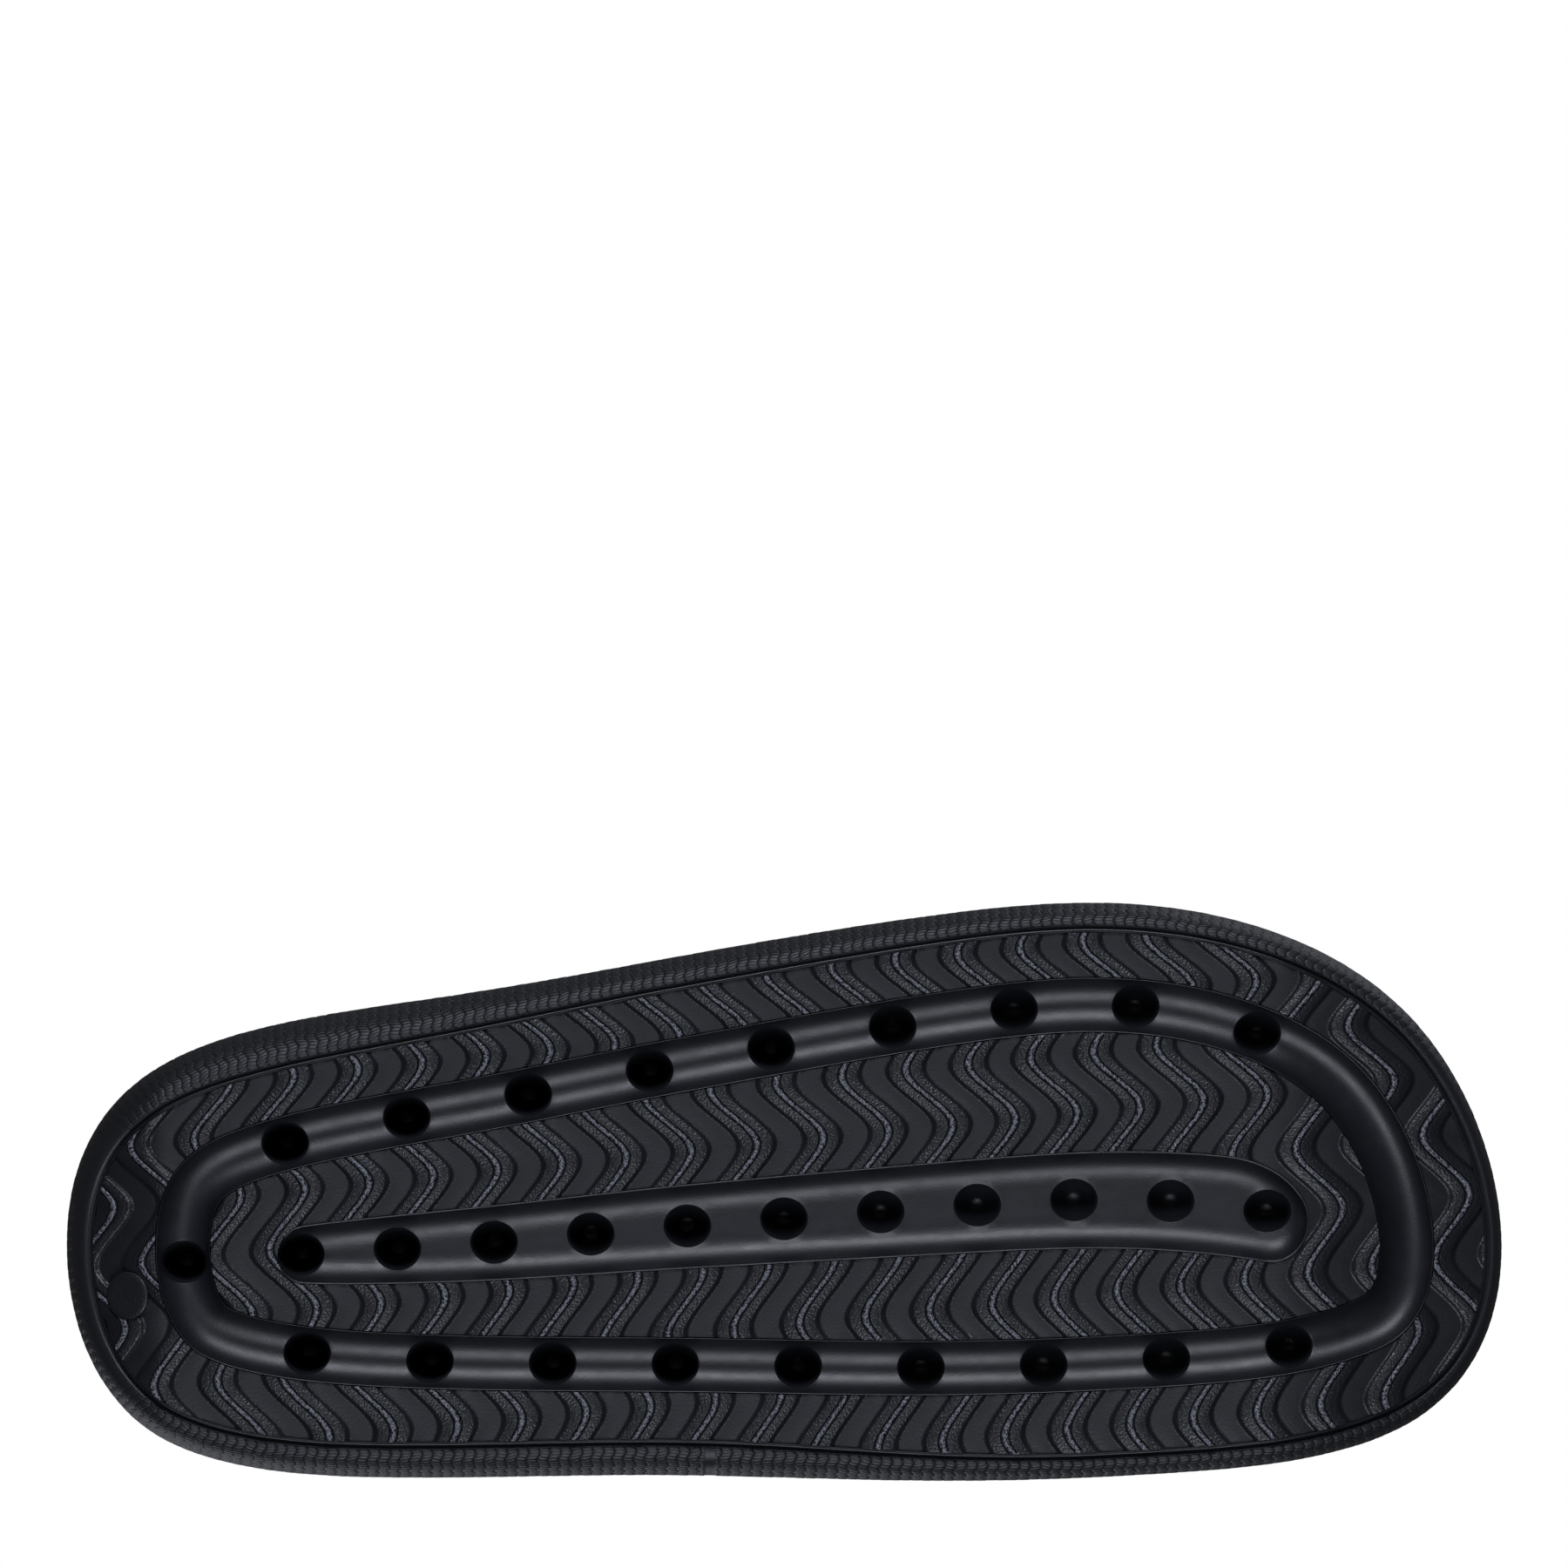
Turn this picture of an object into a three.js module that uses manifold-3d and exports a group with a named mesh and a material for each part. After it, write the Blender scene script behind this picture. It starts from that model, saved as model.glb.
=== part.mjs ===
// A cushioned sole unit for the right foot: a moulded foam midsole with a ring gutter, a middle gutter and
// blind core holes underneath, two tread panels and a heel disc let into it, a textured band wrapped
// round its side, and a cushioned insole with a thin cover lying in the recess on top.
//
// Millimetres. +X points from heel to toe, +Y to the inner side of the foot, +Z up.
// The origin is on the ground, below the middle of the sole's box.

import * as THREE from "three";
import { mergeVertices } from "three/addons/utils/BufferGeometryUtils.js";
import Module from "manifold-3d";

const wasm = await Module();
wasm.setup();

// ---------------------------------------------------------------- driving dimensions

const LENGTH = 270; // heel to toe
const WIDTH = 108.5; // across the ball of the foot
const HEEL_HEIGHT = 44; // top of the side wall above the ground, heel to toe
const WAIST_HEIGHT = 38;
const BALL_HEIGHT = 32;
const TOE_HEIGHT = 36;

const HEEL_AT = 0.1; // stations, as shares of the length from the heel
const WAIST_AT = 0.42;
const BALL_AT = 0.72;

const HEEL_BEVEL_LENGTH = 19; // the underside lifts over this length at the heel
const HEEL_BEVEL_SLOPE = 0.56;
const HEEL_BEVEL_EASE = 4; // how gently the bevel starts
const TOE_SPRING_LENGTH = 44; // and over this length at the toe
const TOE_SPRING_SLOPE = 0.34;
const TOE_SPRING_EASE = 12;

const BOND_GAP = 0.3; // between bonded pieces
const BAND_THICKNESS = 1.6; // textured side band
const PANEL_THICKNESS = 3; // tread panels
const CUSHION_THICKNESS = 6; // insole foam
const COVER_THICKNESS = 1; // insole top sheet
const BAND_JOINT_AT = 0.45; // station of the band's butt joint, on the medial side
const LIP_WIDTH = 0.8; // thin foam lip round every tread panel
const COVE_WIDTH = 1.2; // smooth cove between the tread and the side band
const COVE_RISE = 2;
const WALL_SHARE_TO_WIDEST = 0.45; // height share where the side wall bulges furthest
const WALL_TOP_INSET = 4.5; // how far the wall leans in at the top
const WALL_SQUARENESS = 2.6; // exponent of the wall's bulge: 2 is an ellipse
const RIM_WIDTH = 3; // bare foam rim between the side band and the insole

const GUTTER_WIDTH = 9.8; // ring gutter, half round
const GUTTER_EDGE = 0.3; // short upright edge where a gutter meets the tread
const BAR_START_MARGIN = 40.7; // middle gutter, from the heel end and from the toe end
const BAR_END_MARGIN = 37.2;
const BAR_HEEL_HALF_WIDTH = 4.1;
const BAR_TOE_HALF_WIDTH = 9.3;
const BAR_TAPER = 0.42; // exponent of the half-width's growth towards the toe
const BAR_DEPTH = 5;
const BAR_WALL_ROUNDING = 3.5;
const BAR_OUTER_CORNER = 15; // length of the toe-end corner on the lateral side
const BAR_INNER_CORNER = 8; // and on the medial side
const BAR_OFFSET_HEEL = 1.2; // the middle gutter runs this far medial of the sole's middle line
const BAR_OFFSET_TOE = 3.7;

const HOLE_DIAMETER = 8; // blind core holes
const HOLE_ROOF = 6; // foam left above each hole
const HOLE_DOME = 1.6; // height of the rounded end
const LATERAL_HOLES = { count: 9, first: 41.7, last: 46.5 }; // margins from the heel and toe ends
const MEDIAL_HOLES = { count: 9, first: 45.8, last: 40.5 };
const BAR_HOLES = { count: 11, first: 44.6, last: 44.6 };
const HEEL_HOLE_ACROSS = 13.1; // single hole in the heel bend of the ring gutter

const DISC_DIAMETER = 9; // blank heel disc
const DISC_INSET = 11.4; // its centre, inside the outline
const DISC_ACROSS = 19.1; // and medial of the sole's middle
const DISC_PROUD = 0.3;

const DISH_HEEL = 9; // depth of the insole's dish below the wall's top
const DISH_WAIST = 7.5;
const DISH_FRONT = 5;
const DISH_SIDE = 15; // width over which the dish curves up to the rim

// How far each line lies inside the outline: at the ends, and on each side at the heel, waist and ball.
const TREAD_INSET = { heel: 5.4, toe: 3.4, lateral: [8.5, 5.9, 5.2], medial: [7, 7.1, 4.9] };
const RING_INSET = { heel: 22.7, toe: 18.4, lateral: [21.9, 19.8, 19], medial: [23.4, 21.3, 21.8] };

// The outline's control points, as shares of length from the heel and of width from the middle.
const OUTLINE_CONTROLS = [
  [1.023, 0.092], [0.965, 0.451], [0.752, 0.493], [0.597, 0.506], [0.403, 0.485], [0.246, 0.503],
  [0.025, 0.481], [-0.019, 0.025], [0.051, -0.269], [0.273, -0.334], [0.426, -0.407], [0.61, -0.485],
  [0.776, -0.521], [0.951, -0.358],
];

// ---------------------------------------------------------------- fineness

const HALF_LOOP = 32; // points along each side of a line that follows the outline
const WALL_STEPS = 8;
const HOLE_SIDES = 12;
const GUTTER_STEPS = 6; // facets of a half-round gutter
const LIFT_STEPS = 8; // facets of the heel bevel, and of the toe spring
const BEYOND = 2; // how far a cutter reaches past the surface it opens

// ---------------------------------------------------------------- small helpers

const mix = (a, b, share) => a + (b - a) * share;
const ease = (low, high, value) => THREE.MathUtils.smoothstep(value, low, high);
const shareAlong = (x) => x / LENGTH + 0.5;

/** Eased value at a station: at the heel, the waist, the ball and, if there is a fourth value, the toe. */
function alongSole(values, x) {
  const stations = [HEEL_AT, WAIST_AT, BALL_AT, 1];
  const between = (value, next, i) => mix(value, next, ease(stations[i], stations[i + 1], shareAlong(x)));
  return values.slice(1).reduce(between, values[0]);
}

/** Underside height above the ground: flat, with a bevel at the heel and spring at the toe. */
function soleRise(x) {
  const intoHeel = Math.max(0, HEEL_BEVEL_LENGTH - (x + LENGTH / 2));
  const intoToe = Math.max(0, TOE_SPRING_LENGTH - (LENGTH / 2 - x));
  const lift = (slope, run, soft) => (slope * run * run) / (run + soft);
  return lift(HEEL_BEVEL_SLOPE, intoHeel, HEEL_BEVEL_EASE) + lift(TOE_SPRING_SLOPE, intoToe, TOE_SPRING_EASE);
}

/** Height of the side wall's top above the ground. */
const wallTop = (x) => alongSole([HEEL_HEIGHT, WAIST_HEIGHT, BALL_HEIGHT, TOE_HEIGHT], x);

/** Depth of the insole's dish below the side wall's top. */
const dishDepth = (x) => alongSole([DISH_HEEL, DISH_WAIST, DISH_FRONT], x);

// ---------------------------------------------------------------- the outline and lines inside it

/** A point of the closed uniform cubic B-spline through the outline's controls. */
function outlinePoint(parameter) {
  const count = OUTLINE_CONTROLS.length;
  const span = Math.floor(parameter);
  const t = parameter - span;
  const weights = [(1 - t) ** 3, 3 * t ** 3 - 6 * t ** 2 + 4, -3 * t ** 3 + 3 * t ** 2 + 3 * t + 1, t ** 3];
  const point = new THREE.Vector2();
  weights.forEach((weight, k) => {
    const [along, across] = OUTLINE_CONTROLS[(span + k + count) % count];
    point.x += (weight / 6) * (along - 0.5) * LENGTH;
    point.y += (weight / 6) * across * WIDTH;
  });
  return point;
}

/** The parameter of the outline's furthest point along x: sign +1 for the toe, -1 for the heel. */
function tipParameter(sign) {
  const steps = 2000;
  const parameters = Array.from({ length: steps }, (_, i) => (i / steps) * OUTLINE_CONTROLS.length);
  return parameters.reduce((a, b) => (sign * outlinePoint(b).x > sign * outlinePoint(a).x ? b : a));
}

/** Points round the outline: along the lateral side from heel to toe, then back along the medial side. */
function sampleOutline() {
  const heel = tipParameter(-1);
  const whole = OUTLINE_CONTROLS.length;
  const toe = tipParameter(1) < heel ? tipParameter(1) + whole : tipParameter(1);
  const side = (from, to) =>
    Array.from({ length: HALF_LOOP }, (_, i) => outlinePoint(mix(from, to, (i + 0.5) / HALF_LOOP)));
  return fitToBox([...side(heel, toe), ...side(toe, heel + whole)]);
}

/** Scales and centres a loop so that its box is exactly LENGTH by WIDTH. */
function fitToBox(loop) {
  const box = new THREE.Box2().setFromPoints(loop);
  const size = box.getSize(new THREE.Vector2());
  const middle = box.getCenter(new THREE.Vector2());
  const scale = new THREE.Vector2(LENGTH / size.x, WIDTH / size.y);
  return loop.map((point) => point.clone().sub(middle).multiply(scale));
}

/** Outward unit normal at a point of a counter-clockwise loop. */
function loopNormal(loop, i) {
  const before = loop[(i + loop.length - 1) % loop.length];
  const after = loop[(i + 1) % loop.length];
  return new THREE.Vector2(after.y - before.y, before.x - after.x).normalize();
}

/** Moves every point of a loop inwards by inset(point, normal). */
function insetLoop(loop, inset) {
  return loop.map((point, i) => {
    const normal = loopNormal(loop, i);
    return point.clone().addScaledVector(normal, -inset(point, normal));
  });
}

/** A distance that changes round the sole, by the way the outline faces and along each side. */
function aroundSole(values, point, normal) {
  const side = alongSole(normal.y < 0 ? values.lateral : values.medial, point.x);
  return mix(side, normal.x < 0 ? values.heel : values.toe, normal.x ** 2);
}

const outline = sampleOutline();
const treadLoop = (extra) => insetLoop(outline, (p, n) => aroundSole(TREAD_INSET, p, n) + extra);
const ringCentre = insetLoop(outline, (p, n) => aroundSole(RING_INSET, p, n));

// ---------------------------------------------------------------- building closed solids

/** A counter-clockwise circle that starts beside its point nearest the heel. */
function circle(x, y, radius, sides) {
  return Array.from({ length: sides }, (_, i) => {
    const angle = ((i + 0.5) / sides) * 2 * Math.PI + Math.PI;
    return new THREE.Vector2(x + radius * Math.cos(angle), y + radius * Math.sin(angle));
  });
}

const lift = (loop, height) => loop.map((p) => new THREE.Vector3(p.x, p.y, height(p)));

/** Triangle list that joins rows of equal length; closed rows join their ends, and so may the rows. */
function skin(rows, closeRows) {
  const size = rows[0].length;
  const faces = [];
  const last = closeRows ? rows.length : rows.length - 1;
  for (let r = 0; r < last; r += 1) {
    const low = r * size;
    const high = ((r + 1) % rows.length) * size;
    for (let i = 0; i < size; i += 1) {
      const j = (i + 1) % size;
      faces.push(low + i, low + j, high + j, low + i, high + j, high + i);
    }
  }
  return faces;
}

/** Closes a row whose point i faces point n-1-i with a strip of quads. */
function stripCap(start, size, flip) {
  const faces = [];
  for (let i = 0; i < size / 2 - 1; i += 1) {
    const [a, b] = [start + i, start + i + 1];
    const [c, d] = [start + size - 2 - i, start + size - 1 - i];
    faces.push(...(flip ? [a, c, b, a, d, c] : [a, b, c, a, c, d]));
  }
  return faces;
}

function meshGeometry(points, faces) {
  const geometry = new THREE.BufferGeometry();
  geometry.setAttribute("position", new THREE.Float32BufferAttribute(points.flatMap((p) => p.toArray()), 3));
  geometry.setIndex(faces);
  return geometry;
}

/** A solid through a stack of counter-clockwise loops, capped at both ends. */
function loft(rows) {
  const size = rows[0].length;
  const faces = [
    ...skin(rows, false),
    ...stripCap(0, size, true),
    ...stripCap((rows.length - 1) * size, size, false),
  ];
  return meshGeometry(rows.flat(), faces);
}

/** A solid ring through sections that follow each other round a loop. */
const ring = (sections) => meshGeometry(sections.flat(), skin(sections, true));

/** A manifold-3d solid from a three.js geometry. */
function toSolid(source) {
  const bare = source.clone();
  bare.deleteAttribute("normal");
  bare.deleteAttribute("uv");
  const merged = mergeVertices(bare, 1e-4);
  return new wasm.Manifold(new wasm.Mesh({
    numProp: 3,
    vertProperties: new Float32Array(merged.attributes.position.array),
    triVerts: new Uint32Array(merged.index.array),
  }));
}

/** A three.js geometry from a manifold-3d solid. */
function toGeometry(solid) {
  const mesh = solid.getMesh();
  const geometry = new THREE.BufferGeometry();
  geometry.setAttribute("position", new THREE.Float32BufferAttribute(mesh.vertProperties, 3));
  geometry.setIndex(Array.from(mesh.triVerts));
  return geometry;
}

// ---------------------------------------------------------------- shapes shared by several pieces

/** The flat shape inside a loop, without any part where the loop runs backwards. */
const flatShape = (loop) => new wasm.CrossSection([loop.map((p) => p.toArray())], "Positive");

/** An upright prism over a flat shape, taller than the whole sole. */
function prism(shape) {
  const tall = Math.max(HEEL_HEIGHT, WAIST_HEIGHT, BALL_HEIGHT, TOE_HEIGHT) + BEYOND;
  return shape.extrude(tall + BEYOND).translate([0, 0, -BEYOND]);
}

/** A layer that follows the underside, from one height above it to another, wider than the sole. */
function underLayer(low, high) {
  const reach = LENGTH / 2 + BEYOND;
  const steps = Array.from({ length: LIFT_STEPS + 1 }, (_, i) => i / LIFT_STEPS);
  const stations = [
    ...steps.map((share) => mix(-reach, HEEL_BEVEL_LENGTH - LENGTH / 2, share)),
    ...steps.map((share) => mix(LENGTH / 2 - TOE_SPRING_LENGTH, reach, share)),
  ];
  const row = (side) => {
    const edge = (height) => stations.map((x) => new THREE.Vector3(x, side * WIDTH, soleRise(x) + height));
    return [...edge(low), ...edge(high).reverse()];
  };
  return toSolid(loft([row(1), row(-1)]));
}

/** The middle gutter's outline, moved outwards by grow. */
function barLoop(grow) {
  const start = BAR_START_MARGIN - LENGTH / 2;
  const end = LENGTH / 2 - BAR_END_MARGIN;
  const steps = HALF_LOOP / 2;
  const halfWidth = (x, corner) => {
    const share = (x - start) / (end - start);
    const body = mix(BAR_HEEL_HALF_WIDTH, BAR_TOE_HALF_WIDTH, share ** BAR_TAPER);
    const intoHeel = Math.max(0, 1 - (x - start) / BAR_HEEL_HALF_WIDTH);
    const intoToe = Math.max(0, 1 - (end - x) / corner);
    return body * Math.sqrt((1 - intoHeel ** 2) * (1 - intoToe ** 2));
  };
  const point = (i, side, corner) => {
    const turn = (Math.PI * (i + 0.5)) / steps;
    const x = mix(start, end, (1 - Math.cos(turn)) / 2);
    return new THREE.Vector2(x, barMiddle(x) + side * halfWidth(x, corner));
  };
  const numbers = Array.from({ length: steps }, (_, i) => i);
  const lateral = numbers.map((i) => point(i, -1, BAR_OUTER_CORNER));
  const medial = numbers.map((i) => point(i, 1, BAR_INNER_CORNER)).reverse();
  return insetLoop([...lateral, ...medial], () => -grow);
}

/** Where the ring gutter's centre line crosses a station: side -1 is lateral, +1 is medial. */
function ringAcross(x, side) {
  const half = side < 0 ? ringCentre.slice(0, HALF_LOOP) : ringCentre.slice(HALF_LOOP).reverse();
  const i = Math.max(1, half.findIndex((p) => p.x > x));
  const share = (x - half[i - 1].x) / (half[i].x - half[i - 1].x);
  return mix(half[i - 1].y, half[i].y, share);
}

/** The middle gutter's centre line: midway between the ring's arms, and a little medial. */
function barMiddle(x) {
  const at = THREE.MathUtils.clamp(x, BAR_START_MARGIN - LENGTH / 2, LENGTH / 2 - BAR_END_MARGIN);
  return (ringAcross(at, -1) + ringAcross(at, 1)) / 2 + mix(BAR_OFFSET_HEEL, BAR_OFFSET_TOE, shareAlong(at));
}

// ---------------------------------------------------------------- side wall and footbed surfaces

/**
 * A line round the side wall. turn goes from 0 at the lower edge to PI at the top edge, depth is how far
 * the line lies inside the wall's outer face, and tuck moves it further inwards at the same height.
 */
function wallLoop(turn, depth, tuck = 0) {
  const power = 2 / WALL_SQUARENESS;
  const out = Math.sin(turn) ** power;
  const up = -Math.sign(Math.cos(turn)) * Math.abs(Math.cos(turn)) ** power;
  const lowerInset = (p, n) => Math.max(aroundSole(TREAD_INSET, p, n) - COVE_WIDTH, 0);
  const reach = (p, n) => (up < 0 ? lowerInset(p, n) : WALL_TOP_INSET) * (1 - out);
  const loop = insetLoop(outline, (p, n) => reach(p, n) + depth + tuck);
  const height = (p) => {
    const foot = soleRise(p.x) + COVE_RISE;
    const top = wallTop(p.x);
    const widest = mix(foot, top, WALL_SHARE_TO_WIDEST);
    const span = up < 0 ? widest - foot : top - widest;
    return widest + up * (span - depth);
  };
  return lift(loop, height);
}

const wallTurns = (steps) => Array.from({ length: steps + 1 }, (_, i) => (Math.PI * i) / steps);

/** Lines from the edge of the footbed to its flat middle, drop below the insole's top face. */
function footbedLoops(gap, drop) {
  const edge = WALL_TOP_INSET + RIM_WIDTH;
  const curve = [0, 0.18, 0.5, 1];
  return curve.map((share) => {
    const loop = insetLoop(outline, () => edge + gap + share * DISH_SIDE);
    const sunk = 1 - (1 - share) ** 2;
    return lift(loop, (p) => wallTop(p.x) - drop - COVE_RISE / 2 - sunk * dishDepth(p.x));
  });
}

const cushionTop = COVER_THICKNESS + BOND_GAP;
const cushionBottom = cushionTop + CUSHION_THICKNESS;
const recessDrop = cushionBottom + BOND_GAP;

// ---------------------------------------------------------------- the pieces

/** The midsole before anything is cut from its underside. */
function midsoleBlank() {
  const skinDepth = BAND_THICKNESS + BOND_GAP;
  const nearBand = BOND_GAP * Math.SQRT2;
  const underRise = (extra) => (p) => soleRise(p.x) + extra;
  const cove = [0, 0.45, 0.75, 1].map((share) => {
    const loop = treadLoop(-share * (COVE_WIDTH - nearBand));
    return lift(loop, underRise(COVE_RISE * share ** 2));
  });
  const rimEdge = insetLoop(outline, () => WALL_TOP_INSET + nearBand);
  const bedEdge = insetLoop(outline, () => WALL_TOP_INSET + RIM_WIDTH);
  const rows = [
    ...cove,
    wallLoop(0, skinDepth, nearBand),
    ...wallTurns(WALL_STEPS).map((turn) => wallLoop(turn, skinDepth)),
    wallLoop(Math.PI, skinDepth, nearBand),
    lift(rimEdge, (p) => wallTop(p.x)),
    lift(bedEdge, (p) => wallTop(p.x) - BOND_GAP),
    ...footbedLoops(0, recessDrop),
  ];
  return toSolid(loft(rows));
}

/** A tool that leaves the half-round ring gutter. */
function ringGutterTool() {
  const radius = GUTTER_WIDTH / 2;
  const sections = ringCentre.map((centre, i) => {
    const normal = loopNormal(ringCentre, i);
    const at = (across, up) => new THREE.Vector3(
      centre.x + normal.x * across, centre.y + normal.y * across, soleRise(centre.x) + up);
    const arc = Array.from({ length: GUTTER_STEPS + 1 }, (_, k) => {
      const angle = (Math.PI * k) / GUTTER_STEPS;
      return at(-radius * Math.cos(angle), GUTTER_EDGE + radius * Math.sin(angle));
    });
    return [...arc, at(radius, -BEYOND), at(-radius, -BEYOND)];
  });
  return toSolid(ring(sections));
}

/** A tool that leaves the middle gutter, with rounded walls and a flat floor. */
function barGutterTool() {
  const steps = GUTTER_STEPS / 2;
  const walls = Array.from({ length: steps + 1 }, (_, k) => {
    const angle = (Math.PI / 2) * (k / steps);
    const loop = barLoop(-BAR_WALL_ROUNDING * (1 - Math.cos(angle)));
    return lift(loop, (p) => soleRise(p.x) + GUTTER_EDGE + BAR_DEPTH * Math.sin(angle));
  });
  return toSolid(loft([lift(barLoop(0), (p) => soleRise(p.x) - BEYOND), ...walls]));
}

/** Centres of the blind core holes. */
function holeCentres() {
  const row = ({ count, first, last }, across) =>
    Array.from({ length: count }, (_, i) => {
      const x = mix(first - LENGTH / 2, LENGTH / 2 - last, i / (count - 1));
      return new THREE.Vector2(x, across(x));
    });
  const heelBend = ringCentre
    .filter((p) => p.x < BAR_START_MARGIN - LENGTH / 2)
    .reduce((a, b) => (Math.abs(b.y - HEEL_HOLE_ACROSS) < Math.abs(a.y - HEEL_HOLE_ACROSS) ? b : a));
  return [
    heelBend,
    ...row(LATERAL_HOLES, (x) => ringAcross(x, -1)),
    ...row(MEDIAL_HOLES, (x) => ringAcross(x, 1)),
    ...row(BAR_HOLES, barMiddle),
  ];
}

/** A round tool with a domed end for one core hole. */
function holeTool(centre) {
  const radius = HOLE_DIAMETER / 2;
  const bed = wallTop(centre.x) - COVE_RISE / 2 - dishDepth(centre.x) - recessDrop;
  const end = bed - HOLE_ROOF;
  const start = soleRise(centre.x) - BEYOND;
  const profile = [[1, start], [1, end - HOLE_DOME], [0.75, end - HOLE_DOME / 3], [0.3, end]];
  return toSolid(loft(profile.map(([share, height]) =>
    lift(circle(centre.x, centre.y, share * radius, HOLE_SIDES), () => height))));
}

/** The flat shape inside the ring gutter's centre line, grown by half the gutter, a lip and spare. */
const ringShape = (side, spare) => {
  const reach = GUTTER_WIDTH / 2 + LIP_WIDTH + spare;
  return flatShape(ringCentre).offset(side * reach, "Miter");
};

/** Where the outer panel lies, with spare taken off every edge. */
function outerPanelPrism(spare) {
  return prism(flatShape(treadLoop(LIP_WIDTH + spare)).subtract(ringShape(1, spare)));
}

/** Where the inner panel lies, with spare taken off every edge. */
function innerPanelPrism(spare) {
  return prism(ringShape(-1, spare).subtract(flatShape(barLoop(LIP_WIDTH + spare))));
}

/** The heel disc's centre, where a line inside the medial outline last crosses its distance across. */
function discCentre() {
  const line = insetLoop(outline, () => DISC_INSET).slice(HALF_LOOP);
  const i = line.findLastIndex((p) => p.y > DISC_ACROSS);
  const share = (DISC_ACROSS - line[i].y) / (line[i + 1].y - line[i].y);
  return line[i].clone().lerp(line[i + 1], share);
}

/** An upright prism over the heel disc, round when seen square to the bevel. */
function discPrism(spare) {
  const squash = Math.cos(Math.atan(HEEL_BEVEL_SLOPE));
  const centre = discCentre();
  const loop = circle(0, centre.y, DISC_DIAMETER / 2 + spare, HOLE_SIDES * 2);
  loop.forEach((point) => {
    point.x = centre.x + squash * point.x;
  });
  return prism(flatShape(loop));
}

function midsole() {
  const pocket = underLayer(-BEYOND, PANEL_THICKNESS + BOND_GAP);
  let solid = midsoleBlank()
    .subtract(pocket.intersect(outerPanelPrism(0)))
    .subtract(pocket.intersect(innerPanelPrism(0)))
    .subtract(ringGutterTool())
    .subtract(barGutterTool());
  holeCentres().forEach((centre) => {
    solid = solid.subtract(holeTool(centre));
  });
  return toGeometry(solid);
}

function outerTread() {
  const layer = underLayer(0, PANEL_THICKNESS);
  return toGeometry(layer.intersect(outerPanelPrism(BOND_GAP)).subtract(discPrism(BOND_GAP)));
}

function innerTread() {
  return toGeometry(underLayer(0, PANEL_THICKNESS).intersect(innerPanelPrism(BOND_GAP)));
}

function heelDisc() {
  return toGeometry(underLayer(-DISC_PROUD, PANEL_THICKNESS).intersect(discPrism(0)));
}

/** The band round the side wall, open at its butt joint on the medial side of the waist. */
function sidewallBand() {
  const turns = wallTurns(WALL_STEPS);
  const outer = turns.map((turn) => wallLoop(turn, 0));
  const inner = turns.map((turn) => wallLoop(turn, BAND_THICKNESS)).reverse();
  const lines = [...outer, ...inner];
  const joint = outline.findIndex((p, i) => i >= HALF_LOOP && shareAlong(p.x) < BAND_JOINT_AT);
  const section = (i) => lines.map((line) => line[i % outline.length].clone());
  const sections = Array.from({ length: outline.length }, (_, i) => section(joint + i));
  const step = sections[0][0].distanceTo(sections[sections.length - 1][0]);
  const closing = section(joint).map((p, k) => p.lerp(sections[sections.length - 1][k], BOND_GAP / step));
  sections.push(closing);
  return loft(sections.map((row) => row.reverse()));
}

function insoleCushion() {
  return loft([...footbedLoops(BOND_GAP, cushionBottom).reverse(), ...footbedLoops(BOND_GAP, cushionTop)]);
}

function insoleCover() {
  return loft([...footbedLoops(BOND_GAP, COVER_THICKNESS).reverse(), ...footbedLoops(BOND_GAP, 0)]);
}

// ---------------------------------------------------------------- materials and assembly

const finish = (color, roughness) => new THREE.MeshStandardMaterial({ color, roughness, metalness: 0 });
const foamSkin = finish(0x1d1e22, 0.42);
const treadSkin = finish(0x25272c, 0.62);
const bandTextile = finish(0x2b2b2f, 0.75);
const cushionFoam = finish(0x2f3136, 0.9);
const coverTextile = finish(0x202125, 0.85);

function piece(name, geometry, material) {
  const mesh = new THREE.Mesh(geometry, material);
  mesh.name = name;
  return mesh;
}

const soleUnit = new THREE.Group();
soleUnit.add(
  piece("midsole", midsole(), foamSkin),
  piece("sidewall_band", sidewallBand(), bandTextile),
  piece("outer_tread", outerTread(), treadSkin),
  piece("inner_tread", innerTread(), treadSkin),
  piece("heel_disc", heelDisc(), treadSkin),
  piece("insole_cushion", insoleCushion(), cushionFoam),
  piece("insole_cover", insoleCover(), coverTextile),
);

export default soleUnit;
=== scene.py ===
"""A cushioned sole unit for the right foot, seen from below in a plain studio.

The sole is a foam midsole with a ring gutter, a middle gutter and blind core holes underneath, two
wave-ribbed tread panels and a heel disc let into it, a woven-textured band round its side, and a cushioned
insole on top.
Lengths in this file are millimetres until a mesh is made, which turns them to metres.
"""

import logging
import math
from dataclasses import dataclass, field
from enum import Enum
from typing import Any, Callable, Optional, Sequence

import bpy
import numpy as np
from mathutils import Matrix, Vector
from mathutils.geometry import delaunay_2d_cdt


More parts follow.
